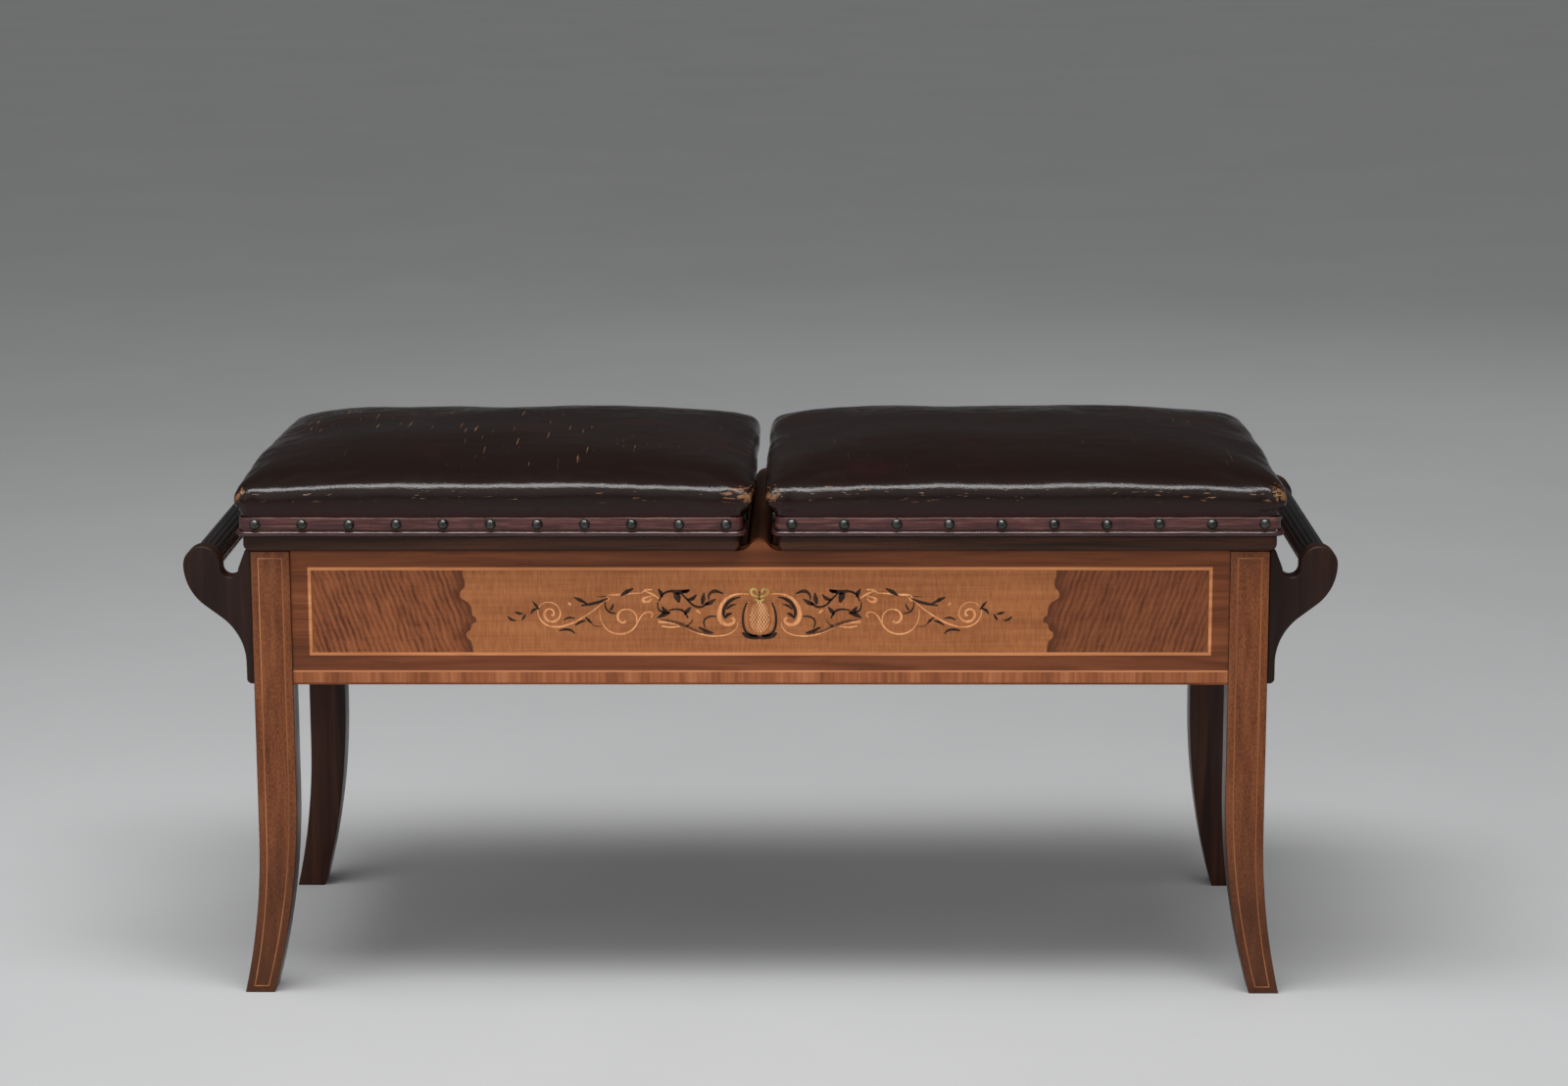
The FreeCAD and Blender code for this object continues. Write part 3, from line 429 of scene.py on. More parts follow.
def makePanelWood():
    material, shader, place = newMaterial("panelVeneer")
    polish = useGroup(agedPolish, Vector=place, Gloss=0.25)
    x, y, z = put("SeparateXYZ", Vector=place).outputs
    ribbon = streaked(place, (460, 1, 75), 3.0, 0.6)
    grain = streaked(place, (7, 1, 240), 5.0, 0.6, 0.6)
    broad = streaked(place, (7, 1, 26), 2.0, 0.5, 0.5)
    figure = weigh((ribbon, 0.42), (grain, 0.34), (broad, 0.24))
    gold = ramp(figure, (0.34, 0.5, 0.66), woodTones["panelGold"])
    # streaks lean outwards at the foot, each end the mirror of the other
    mirrored = put("CombineXYZ", X=calc("ABSOLUTE", x), Y=y, Z=z).outputs["Vector"]
    leaning = stretched(mirrored, (1, 1, 1), (0, -0.33, 0))
    waves = put("TexWave", {"wave_type": "BANDS", "bands_direction": "X"}, Vector=leaning, Scale=58.0,
                Distortion=5.0, Detail=3.0, Detail_Scale=0.7, Detail_Roughness=0.55).outputs["Fac"]
    broken = streaked(leaning, (210, 1, 40), 3.0, 0.55, 0.4)
    ripple = weigh((waves, 0.24), (broken, 0.76))
    fibre = streaked(place, (26, 1, 420), 4.0, 0.6, 0.3)
    smoke = streaked(place, (16, 1, 34), 3.0, 0.6, 0.6)
    endFigure = weigh((ripple, 0.62), (fibre, 0.16), (smoke, 0.28))
    dark = ramp(endFigure, (0.36, 0.54, 0.74), woodTones["panelEnd"])
    darkest = woodTones["panelEnd"][0]
    low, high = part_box("front_panel")
    rise = put("MapRange", Value=z, From_Min=low[2], From_Max=high[2]).outputs["Result"]
    course = put("FloatCurve", Value=rise)
    points = course.mapping.curves[0].points
    nearest, farthest = panelVeneer["nearest"], panelVeneer["farthest"]
    spots = [(share, (reach - nearest) / (farthest - nearest)) for share, reach in panelVeneer["joint"]]
    points[0].location = spots[0]
    points[1].location = spots[-1]
    for spot in spots[1:-1]:
        points.new(*spot)
    course.mapping.update()
    edge = put("MapRange", Value=course.outputs["Value"], To_Min=nearest / 1000,
               To_Max=farthest / 1000).outputs["Result"]
    across = calc("SUBTRACT", calc("ABSOLUTE", x), edge)
    isEnd = remap(across, -0.0003, 0.0003)
    burnt = times(remap(across, 0.016, 0.0, 0.0, 0.8), isEnd)
    dark = blendColour(burnt, dark, darkest)
    dark = blendColour(remap(x, -0.1, 0.1, 0.0, 0.32), dark, darkest)
    colour = blendColour(isEnd, gold, dark)
    colour = blendColour(times(polish["Grime"], 0.18), colour, darkest)
    finishWood(shader, colour, polish, grain, 0.05)
    return material


panelWood = makePanelWood()


def makeCrossbandWood():
    # short veneer strips side by side, their grain upright
    material, shader, place = newMaterial("crossbandVeneer")
    polish = useGroup(agedPolish, Vector=place, Gloss=0.27)
    fine = streaked(place, (260, 1, 12), 4.0, 0.6)
    strip = streaked(place, (38, 0.1, 0.1), 1.0, 0.5)
    figure = weigh((fine, 0.5), (strip, 0.5))
    colour = ramp(figure, (0.36, 0.5, 0.64), woodTones["crossband"])
    finishWood(shader, colour, polish, fine, 0.05, coatRoughness=0.03)
    return material


crossbandWood = makeCrossbandWood()
print("veneers made")


# Leather: cracked and polished hide, tan where it is rubbed through
leatherTones = {
    "top": (0.0075, 0.0032, 0.0024), "side": (0.0200, 0.0046, 0.0039), "worn": (0.17, 0.075, 0.030),
    "raw": (0.36, 0.20, 0.10), "seatMiddle": 0.2555,
    # where each effect comes in or goes out: across the seat, then in height
    "endWear": (0.221, 0.243), "frontWear": (0.185, 0.207), "leftSeat": (-0.06, -0.12),
    "sideFade": (0.500, 0.484), "rolled": ((0.484, 0.496), (0.522, 0.512)),
    "underRoll": ((0.491, 0.497), (0.509, 0.503)), "crown": (0.519, 0.524),
}


def makeLeather():
    material, shader, place = newMaterial("agedLeather")
    x, y, z = put("SeparateXYZ", Vector=place).outputs
    pebble = put("TexVoronoi", {"feature": "F1"}, Vector=place, Scale=620.0).outputs["Distance"]
    crease = noiseOn(place, 75.0, 6.0, 0.65, 0.6)
    patch = noiseOn(place, 9.0, 5.0, 0.6)
    rough = noiseOn(place, 150.0, 5.0, 0.7, 0.4)
    colour = blendColour(remap(z, *leatherTones["sideFade"]), leatherTones["top"], leatherTones["side"])
    colour = blendColour(remap(patch, 0.5, 0.75, 0.0, 0.5), colour, leatherTones["side"])
    fromMiddle = calc("SUBTRACT", calc("ABSOLUTE", x), leatherTones["seatMiddle"])
    nearEnd = remap(calc("ABSOLUTE", fromMiddle), *leatherTones["endWear"])
    nearFront = remap(calc("ABSOLUTE", y), *leatherTones["frontWear"])
    corner = times(times(nearEnd, nearFront), inBand(z, *leatherTones["rolled"]))
    cornerWear = remap(calc("ADD", times(corner, 0.42), rough), 0.83, 0.98)
    flecks = streaked(place, (75, 75, 480), 4.0, 0.6)
    flecks = weigh((flecks, 0.7), (patch, 0.4))
    edgeWear = times(remap(flecks, 0.635, 0.675), inBand(z, *leatherTones["underRoll"]))
    scratchPlace = stretched(place, (420, 14, 60), (0, 0, 0.05))
    scratch = remap(noiseOn(scratchPlace, 1.0, 2.0, 0.5), 0.675, 0.735)
    onLeft = remap(x, *leatherTones["leftSeat"])
    onTop = remap(z, *leatherTones["crown"])
    cracked = times(times(scratch, onTop), remap(noiseOn(place, 7.0, 2.0), 0.42, 0.60))
    cracked = times(cracked, calc("ADD", times(onLeft, 0.75), 0.2))
    worn = calc("MAXIMUM", calc("MAXIMUM", cornerWear, edgeWear), cracked)
    wornColour = blendColour(remap(crease, 0.47, 0.70), leatherTones["worn"], leatherTones["raw"])
    colour = blendColour(times(worn, 0.85), colour, wornColour)
    plug(colour, shader, "Base Color")
    gloss = remap(crease, 0.3, 0.75, 0.11, 0.22)
    plug(calc("ADD", gloss, times(worn, 0.4)), shader, "Roughness")
    plug(0.28, shader, "Specular IOR Level")
    height = calc("SUBTRACT", times(crease, 0.9), times(pebble, 0.35))
    height = calc("SUBTRACT", height, times(worn, 0.5))
    finishBump(shader, height, 0.38, 0.0008)
    return material


leather = makeLeather()
trimTones = {"dark": (0.024, 0.008, 0.008), "red": (0.070, 0.019, 0.018), "pale": (0.17, 0.075, 0.058),
             "stripTop": (0.4766, 0.4776), "beadTop": (0.4665, 0.4650)}


def makeTrimLeather():
    # the nailed strip and the bead: redder hide, creased along its length, pale at the cut edges
    material, shader, place = newMaterial("trimLeather")
    z = put("SeparateXYZ", Vector=place).outputs["Z"]
    creases = streaked(place, (22, 22, 520), 4.0, 0.6, 0.5)
    spots = noiseOn(place, 55.0, 5.0, 0.65)
    colour = ramp(creases, (0.32, 0.52, 0.74), (trimTones["dark"], trimTones["red"], trimTones["pale"]))
    colour = blendColour(remap(spots, 0.52, 0.72, 0.0, 0.7), colour, trimTones["dark"])
    topEdge = times(remap(z, *trimTones["stripTop"]), remap(spots, 0.35, 0.6))
    colour = blendColour(times(topEdge, 0.6), colour, trimTones["pale"])
    onBead = remap(z, *trimTones["beadTop"])
    colour = blendColour(times(onBead, 0.7), colour, trimTones["dark"])
    plug(colour, shader, "Base Color")
    gloss = calc("SUBTRACT", remap(spots, 0.3, 0.7, 0.26, 0.44), times(onBead, 0.12))
    plug(gloss, shader, "Roughness")
    finishBump(shader, creases, 0.3, 0.0008)
    return material


trimLeather = makeTrimLeather()
metalTones = {"nail": (0.045, 0.046, 0.043), "rubbed": (0.12, 0.12, 0.112), "iron": (0.050, 0.047, 0.045),
              "rust": (0.11, 0.050, 0.024), "steel": (0.30, 0.30, 0.31)}


def agedMetal(name, base, patina, roughness, scale):
    material, shader, place = newMaterial(name)
    spots = noiseOn(place, scale, 5.0, 0.6)
    plug(ramp(spots, (0.4, 0.72), (base, patina)), shader, "Base Color")
    plug(remap(spots, 0.3, 0.7, roughness, roughness + 0.15), shader, "Roughness")
    plug(0.9, shader, "Metallic")
    finishBump(shader, spots, 0.15, 0.0003)
    return material


nailMetal = agedMetal("nailMetal", metalTones["nail"], metalTones["rubbed"], 0.22, 190.0)
ironMetal = agedMetal("blackIron", metalTones["iron"], metalTones["rust"], 0.5, 60.0)
springMetal = agedMetal("springSteel", metalTones["steel"], metalTones["rust"], 0.3, 90.0)
print("leather and metals made")


# Turned, moulded and sawn wood: copies of the shapes with softened edges

def softened(node, body, slot, material, width, segments=2):
    piece = mergedCopy(node, node + "_soft")
    addModifier(piece, "BEVEL", width=width, segments=segments, limit_method="ANGLE",
                angle_limit=math.radians(40), harden_normals=False, use_clamp_overlap=True)
    smoothByAngle(piece, 38)
    enterBody(piece, body, slot, material, node)


edgeRadius = {"leg": 0.0010, "bracket": 0.0016, "board": 0.0008, "rail": 0.0008}
for sideName in sides:
    for rowName in rows:
        softened(f"{rowName}_{sideName}_leg", "base", "mahogany", legWood, edgeRadius["leg"])
        softened(f"{rowName}_{sideName}_bracket", "base", "dark_mahogany", woods["bracketMahogany"],
                 edgeRadius["bracket"], 3)
    softened(f"{sideName}_seat_board", f"{sideName}_seat", "mahogany", woods["seatBoardMahogany"],
             edgeRadius["board"])
    softened(f"{sideName}_end_rail", "base", "mahogany", woods["endMahogany"], edgeRadius["rail"])
softened("back_rail", "base", "mahogany", woods["railMahogany"], edgeRadius["rail"])
# the bearer's dark stained tone is painted shade for the gap between the seats
softened("centre_bearer", "base", "dark_mahogany", woods["bearerShadedMahogany"], edgeRadius["rail"])
print("softened woodwork made")

plainNodes = {"front_rail": woods["railMahogany"], "front_panel": panelWood, "front_crossband": crossbandWood,
              "front_stringing": woods["stringing"]}
sideNodes = (
    (woods["endMahogany"], ("batten",)), (woods["plainDealUpright"], ("guide_strips",)),
    (ironMetal, ("shaft_bearings", "pawl_shaft", "front_pawl", "back_pawl", "front_rack", "back_rack")),
    (woods["plainDeal"], ("seat_pad_board",)),
    (woods["stainedSkirt"], ("seat_front_skirt", "seat_back_skirt")),
    (woods["stainedSkirtAcross"], ("seat_inner_skirt", "seat_outer_skirt")),
)
for sideName in sides:
    for material, endings in sideNodes:
        plainNodes.update((f"{sideName}_{ending}", material) for ending in endings)
for node, material in plainNodes.items():
    dress(cadNodes[node], material)

# Leaf springs: copies of the springs where they lie, their long edges cut into finer steps
leafShape = {"cuts": 12, "knee": 0.30, "tip": 0.12, "longEdge": 0.008, "endReach": 0.003}


def makeSpring(sideName):
    node = f"{sideName}_pawl_spring"
    piece = mergedCopy(node, f"{sideName}_leaf_spring")
    spots = [vertex.co.x for vertex in piece.data.vertices]
    longEdge = leafShape["longEdge"]
    pick(piece, "EDGE", lambda edge: abs(spots[edge.vertices[0]] - spots[edge.vertices[1]]) > longEdge)
    bpy.ops.mesh.subdivide(number_cuts=leafShape["cuts"])
    backToObject()
    smoothByAngle(piece, 40)
    dress(piece, springMetal)
    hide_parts(node)
    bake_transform(piece)


for sideName in sides:
    makeSpring(sideName)
print("leaf springs made")

# Leg stringing: a pale line let in round the front face of each front leg
legLine = {"inset": 0.0062, "width": 0.0011, "proud": 0.00012}


def legStringing(sideName):
    leg = f"front_{sideName}_leg"
    piece = mergedCopy(leg, leg + "_stringing", False)
    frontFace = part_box(leg)[0][1]
    pick(piece, "FACE", lambda face: face.normal.y > -0.99 or abs(face.center.y - frontFace) > 0.0001)
    bpy.ops.mesh.delete(type="FACE")
    bpy.ops.mesh.select_all(action="SELECT")
    bpy.ops.mesh.dissolve_limited(angle_limit=meshCare["flat"])
    for thickness, keepInside in ((legLine["inset"], True), (legLine["width"], False)):
        bpy.ops.mesh.select_mode(type="FACE")
        bpy.ops.mesh.select_all(action="SELECT")
        bpy.ops.mesh.inset(thickness=thickness, use_boundary=True, use_even_offset=True)
        if keepInside:
            bpy.ops.mesh.select_all(action="INVERT")
        bpy.ops.mesh.delete(type="FACE")
    backToObject()
    for vertex in piece.data.vertices:
        vertex.co.y = frontFace - legLine["proud"]
    addModifier(piece, "SOLIDIFY", thickness=2 * legLine["proud"], offset=-1)
    enterBody(piece, "base", "satinwood", woods["stringingUpright"])


for sideName in sides:
    legStringing(sideName)
print("leg stringing made")


# Grips: turned beads at the ends and rounded reeds between them
gripShape = {
    "reeds": 16, "stepsPerReed": 8, "hollow": 0.0131, "crest": 0.0146, "beadBevel": 0.0013,
    "beadSides": 56, "clearance": 0.0002,
    # width and radius of each turned bead
    "collar": (0.006, 0.016), "cove": (0.005, 0.0115), "ring": (0.004, 0.015), "tenon": (0.010, 0.008),
}


def turnedBead(centre, radius, depth):
    bpy.ops.mesh.primitive_cylinder_add(vertices=gripShape["beadSides"], radius=radius, depth=depth,
                                        location=centre, rotation=(math.pi / 2, 0, 0))
    bead = bpy.context.active_object
    settle(bead)
    pick(bead, "FACE", lambda face: abs(face.normal.y) > 0.9)
    bpy.ops.mesh.bevel(offset=min(gripShape["beadBevel"], depth / 3), segments=3, affect="EDGES")
    backToObject()
    return bead


def makeGrip(sideName):
    low, high = corners(f"{sideName}_grip")
    x = (low.x + high.x) / 2
    z = (low.z + high.z) / 2
    # where the collar meets the bracket
    shoulder = -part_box(f"front_{sideName}_bracket")[1][1] - gripShape["clearance"]
    parts = []
    for row in rows.values():
        start = -gripShape["tenon"][0]
        for bead in ("tenon", "collar", "cove", "ring"):
            width, radius = gripShape[bead]
            parts.append(turnedBead((x, row * (shoulder - start - width / 2), z), radius, width))
            start += width
    reedEnd = shoulder - start
    count = gripShape["reeds"] * gripShape["stepsPerReed"]
    bpy.ops.mesh.primitive_circle_add(vertices=count, radius=gripShape["crest"], location=(x, -reedEnd, z),
                                      rotation=(math.pi / 2, 0, 0), fill_type="NGON")
    shaft = bpy.context.active_object
    settle(shaft)
    for vertex in shaft.data.vertices:
        spoke = Vector((vertex.co.x - x, 0, vertex.co.z - z))
        share = math.atan2(spoke.z, spoke.x) / (2 * math.pi) * gripShape["reeds"]
        across = 2 * abs(share - round(share))
        radius = gripShape["hollow"] + (gripShape["crest"] - gripShape["hollow"]) * math.sqrt(1 - across ** 2)
        spoke = spoke.normalized() * radius
        vertex.co.x = x + spoke.x
        vertex.co.z = z + spoke.z
    pick(shaft, "FACE", lambda face: True)
    bpy.ops.mesh.extrude_region_move(TRANSFORM_OT_translate={"value": (0, 2 * reedEnd, 0)})
    faceOutwards(shaft)
    parts.append(shaft)
    grip = joinAll(parts, f"{sideName}_grip_turned")
    smoothByAngle(grip, 40)
    enterBody(grip, "base", "ebonised_wood", woods["ebonisedGrip"], f"{sideName}_grip")


for sideName in sides:
    makeGrip(sideName)
print("grips made")


# Seats: padded hide over the board, with a bead, a nailed strip and dome nails
padShape = {
    "bottom": 0.4660, "bandTop": 0.4790, "fullest": 0.4975, "stand": 0.0010, "bulge": 0.0075,
    "innerBulge": 0.0160, "endBulge": 0.0110, "cornerDrop": 0.0045, "dropReach": 0.05, "roll": 0.0165,
    "rollEnd": 76, "reach": 0.165, "baseCorner": 0.0072, "corner": 0.014, "cornerGrowth": 0.75,
    "cornerSteps": 9, "belowSteps": 5, "rollSteps": 8, "crownSteps": 7, "voxel": 0.0055, "pressure": 4.0,
    "frames": 20, "cap": 0.0030, "lump": 0.0026, "ripple": 0.0005, "pleats": (0.42, 0.80, 1.15),
    "pleatDepth": 0.0024, "pleatWidth": 0.0025, "foldTop": 0.016, "foldFoot": -0.002,
    # lumps and ripples to the metre, how the corners' growth fades, and the roundest corner by each side
    "lumpPitch": 11, "ripplePitch": 60, "growthFade": 2.4, "roundestDeep": 0.95, "roundestLong": 0.47,
}


def easeBetween(value, low, high):
    share = min(max((value - low) / (high - low), 0), 1)
    return share * share * (3 - 2 * share)


def simulatePad(piece):
    rest = [vertex.co.copy() for vertex in piece.data.vertices]
    held = piece.vertex_groups.new(name="held")
    held.add([number for number, spot in enumerate(rest) if spot.z < padShape["bandTop"]], 1, "REPLACE")
    makeActive(piece)
    cloth = piece.modifiers.new("cloth", "CLOTH")
    cloth.settings.vertex_group_mass = "held"
    cloth.settings.use_pressure = True
    cloth.settings.uniform_pressure_force = padShape["pressure"]
    cloth.settings.effector_weights.gravity = 0
    cloth.settings.quality = 4
    cloth.collision_settings.use_collision = False
    cloth.point_cache.frame_start = 1
    cloth.point_cache.frame_end = padShape["frames"]
    scene = bpy.context.scene
    for step in range(1, padShape["frames"] + 1):
        scene.frame_set(step)
    bpy.ops.object.modifier_apply(modifier=cloth.name)
    scene.frame_set(1)
    for vertex, before in zip(piece.data.vertices, rest):
        move = vertex.co - before
        if move.length > padShape["cap"]:
            vertex.co = before + move * (padShape["cap"] / move.length)
    piece.vertex_groups.clear()


def padLevels():
    # height, outward share of the bulge and inset of each ring
    levels = [(padShape["bottom"], 0.0, 0.0), (padShape["bandTop"], 0.0, 0.0)]
    for step in range(1, padShape["belowSteps"] + 1):
        share = step / padShape["belowSteps"]
        height = padShape["bandTop"] + (padShape["fullest"] - padShape["bandTop"]) * share
        levels.append((height, 1 - (1 - share) ** 2, 0.0))
    for step in range(1, padShape["rollSteps"] + 1):
        turn = math.radians(padShape["rollEnd"]) * step / padShape["rollSteps"]
        height = padShape["fullest"] + padShape["roll"] * math.sin(turn)
        inset = padShape["roll"] * (1 - math.cos(turn))
        levels.append((height, 1.0, inset))
    slope = math.tan(math.radians(90 - padShape["rollEnd"]))
    run = padShape["reach"] - inset
    for step in range(1, padShape["crownSteps"] + 1):
        share = step / padShape["crownSteps"]
        levels.append((height + slope * run * (share - share * share / 2), 1.0, inset + run * share))
    return levels


def ringSpots(x0, x1, y0, y1, radius, count):
    # a ring of points round a rectangle with round corners
    spots = []
    for x, y, first in ((x1 - radius, y0 + radius, -90), (x1 - radius, y1 - radius, 0),
                        (x0 + radius, y1 - radius, 90), (x0 + radius, y0 + radius, 180)):
        for step in range(count):
            angle = math.radians(first + 90 * step / (count - 1))
            spots.append((x + radius * math.cos(angle), y + radius * math.sin(angle)))
    return spots


def makeCushion(seat, sign):
    low, high = corners(seat + "_board")
    bpy.ops.mesh.primitive_circle_add(vertices=4 * padShape["cornerSteps"], radius=0.2, fill_type="NGON")
    pad = bpy.context.active_object
    pad.name = seat + "_cushion"
    for number, (height, share, inset) in enumerate(padLevels()):
        if number:
            pick(pad, "FACE", lambda face: face.index == topFace)
            bpy.ops.mesh.extrude_region_move(TRANSFORM_OT_translate={"value": (0, 0, 0.001)})
            backToObject()
        top = max(pad.data.polygons, key=lambda face: (len(face.vertices), face.center.z))
        topFace = top.index
        inner, outer, outerEnd = (padShape["stand"] + share * padShape[bulge] - inset
                                  for bulge in ("innerBulge", "bulge", "endBulge"))
        x0 = low.x - (inner if sign > 0 else outerEnd)
        x1 = high.x + (outerEnd if sign > 0 else inner)
        radius = padShape["baseCorner"] + share * (padShape["corner"] - padShape["baseCorner"])
        fade = inset / (padShape["growthFade"] * padShape["reach"])
        radius += padShape["cornerGrowth"] * inset * (1 - fade)
        radius = min(radius, (high.y + outer) * padShape["roundestDeep"],
                     (x1 - x0) * padShape["roundestLong"])
        spots = ringSpots(x0, x1, low.y - outer, high.y + outer, radius, padShape["cornerSteps"])
        for index, (x, y) in zip(top.vertices, spots):
            pad.data.vertices[index].co = (x, y, height)
        pad.data.update()
    faceOutwards(pad)
    pad.data.remesh_voxel_size = padShape["voxel"]
    makeActive(pad)
    bpy.ops.object.voxel_remesh()
    addModifier(pad, "SMOOTH", factor=0.5, iterations=6)
    simulatePad(pad)
    addModifier(pad, "SMOOTH", factor=0.5, iterations=3)
    middleX = (low.x + high.x) / 2
    halfX = (high.x - low.x) / 2
    pad.data.update()
    for vertex in pad.data.vertices:
        co = vertex.co
        full = easeBetween(co.z, padShape["bandTop"] + 0.001, padShape["fullest"])
        if not full:
            continue
        seed = co + Vector((3.7 * sign, 1.3, 0))
        move = sum(noise.noise(seed * padShape[kind + "Pitch"]) * padShape[kind]
                   for kind in ("lump", "ripple"))
        # gathered folds that run up from the band at each corner
        u = abs(co.x - middleX) - (halfX - 2 * padShape["corner"])
        v = abs(co.y) - (high.y - 2 * padShape["corner"])
        if u > 0 and v > 0:
            turn = math.atan2(v, u)
            rise = easeBetween(co.z - padShape["fullest"], padShape["foldTop"], padShape["foldFoot"])
            for fold in padShape["pleats"]:
                gap = (turn - fold) * 2 * padShape["corner"]
                move -= padShape["pleatDepth"] * rise * math.exp(-(gap / padShape["pleatWidth"]) ** 2)
        fromEnd = (halfX - abs(co.x - middleX)) / padShape["dropReach"]
        fromFront = (high.y - abs(co.y)) / padShape["dropReach"]
        drop = padShape["cornerDrop"] * math.exp(-fromEnd ** 2 - fromFront ** 2)
        vertex.co = co + vertex.normal * move * full - Vector((0, 0, drop * full))
    addModifier(pad, "SUBSURF", levels=1, render_levels=1)
    makeActive(pad)
    bpy.ops.object.shade_smooth()
    enterBody(pad, seat, "leather", leather, seat + "_cover", seat + "_stuffing")


def seatPath(seat, grow, radius, spacing=0.006):
    # points round the seat board, grown outwards, with round corners
    low, high = corners(seat + "_board")
    steps = 7
    ring = [Vector((*spot, 0)) for spot in
            ringSpots(low.x - grow, high.x + grow, low.y - grow, high.y + grow, radius, steps)]
    spots = []
    for number, spot in enumerate(ring):
        spots.append(spot)
        if number % steps == steps - 1:
            run = ring[(number + 1) % len(ring)] - spot
            count = int(run.length / spacing)
            spots.extend(spot + run * (step / count) for step in range(1, count))
    return spots


def stripFromPath(name, spots, height, bevel, extrude=0.0, resolution=3):
    curve = bpy.data.curves.new(name, "CURVE")
    curve.dimensions = "3D"
    curve.bevel_depth = bevel
    curve.bevel_resolution = resolution
    curve.extrude = extrude
    curve.twist_mode = "Z_UP"
    spline = curve.splines.new("POLY")
    spline.points.add(len(spots) - 1)
    for point, spot in zip(spline.points, spots):
        point.co = (spot.x, spot.y, height, 1)
    spline.use_cyclic_u = True
    piece = curveToMesh(name, curve)
    editAll(piece)
    bpy.ops.mesh.remove_doubles(threshold=meshCare["merge"] / 2)
    faceOutwards(piece)
    return piece


trimShape = {"beadRadius": 0.0026, "beadStand": 0.0040, "beadHeight": 0.0028, "stripStand": 0.0024,
             "stripHalf": 0.0053, "stripEdge": 0.0008, "pucker": 0.0005, "waver": 0.0002, "beadCorner": 0.009,
             "stripCorner": 0.0085}


def makeTrim(seat, sign):
    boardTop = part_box(seat + "_board")[1][2]
    beadPath = seatPath(seat, trimShape["beadStand"], trimShape["beadCorner"])
    bead = stripFromPath(seat + "_bead", beadPath, boardTop + trimShape["beadHeight"],
                         trimShape["beadRadius"])
    for vertex in bead.data.vertices:
        vertex.co.z += trimShape["waver"] * noise.noise(vertex.co * 40)
    smoothByAngle(bead, 60)
    enterBody(bead, seat, "leather_trim", trimLeather, seat + "_welt")
    low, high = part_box(seat + "_band")
    middle = (low[2] + high[2]) / 2
    stripPath = seatPath(seat, trimShape["stripStand"], trimShape["stripCorner"], 0.004)
    strip = stripFromPath(seat + "_strip", stripPath, middle, trimShape["stripEdge"],
                          trimShape["stripHalf"], 2)
    for vertex in strip.data.vertices:
        along = noise.noise(Vector((vertex.co.x, vertex.co.y, 0.3 * sign)) * 60)
        edge = (vertex.co.z - middle) / trimShape["stripHalf"]
        vertex.co.z += trimShape["pucker"] * along * (1 if edge > 0 else 0.6)
        vertex.co += vertex.normal * trimShape["waver"] * noise.noise(vertex.co * 120)
    smoothByAngle(strip, 50)
    enterBody(strip, seat, "leather_trim", trimLeather, seat + "_band")


nailShape = {"radius": 0.0053, "rise": 0.0050, "cadRise": 0.0026, "margin": 0.016, "sway": 0.0009,
             "across": {"left_seat": 11, "right_seat": 10}, "deep": 9, "cut": 0.0002, "segments": 20,
             "rings": 12}


def makeNails(seat, sign):
    low, high = corners(seat + "_nails")
    grow = nailShape["cadRise"]
    x0, x1, y0, y1 = low.x + grow, high.x - grow, low.y + grow, high.y - grow
    z = (low.z + high.z) / 2
    bpy.ops.mesh.primitive_uv_sphere_add(segments=nailShape["segments"], ring_count=nailShape["rings"],
                                         radius=nailShape["radius"])
    dome = bpy.context.active_object
    editAll(dome)
    bpy.ops.mesh.bisect(plane_co=(0, 0, nailShape["cut"]), plane_no=(0, 0, 1), clear_inner=True,
                        use_fill=True)
    backToObject()
    dome.scale = (1, 1, nailShape["rise"] / nailShape["radius"])
    settle(dome)
    bpy.ops.object.shade_smooth()
    places = []
    count = nailShape["across"][seat]
    for step in range(count):
        x = x0 + nailShape["margin"] + (x1 - x0 - 2 * nailShape["margin"]) * step / (count - 1)
        places += [(x, y0, 0), (x, y1, 180)]
    for step in range(nailShape["deep"]):
        y = y0 + nailShape["margin"] + (y1 - y0 - 2 * nailShape["margin"]) * (step + 0.5) / nailShape["deep"]
        places += [(x1, y, 90), (x0, y, 270)]
    heads = []
    for number, (x, y, turn) in enumerate(places):
        head = newPiece("head", dome.data.copy())
        tilt = Matrix.Rotation(math.radians(turn), 4, "Z") @ Matrix.Rotation(math.radians(90), 4, "X")
        sway = Vector((0, 0, nailShape["sway"] * noise.noise(Vector((number * 1.7, 2.0 * sign, 0.4)))))
        head.matrix_world = Matrix.Translation(Vector((x, y, z)) + sway) @ tilt
        heads.append(head)
    bpy.data.objects.remove(dome)
    nails = joinAll(heads, seat + "_dome_nails")
    settle(nails)
    enterBody(nails, seat, "nail_metal", nailMetal, seat + "_nails")


for sideName, sign in sides.items():
    seatName = f"{sideName}_seat"
    makeCushion(seatName, sign)
    makeTrim(seatName, sign)
    makeNails(seatName, sign)
    print(seatName, "made")


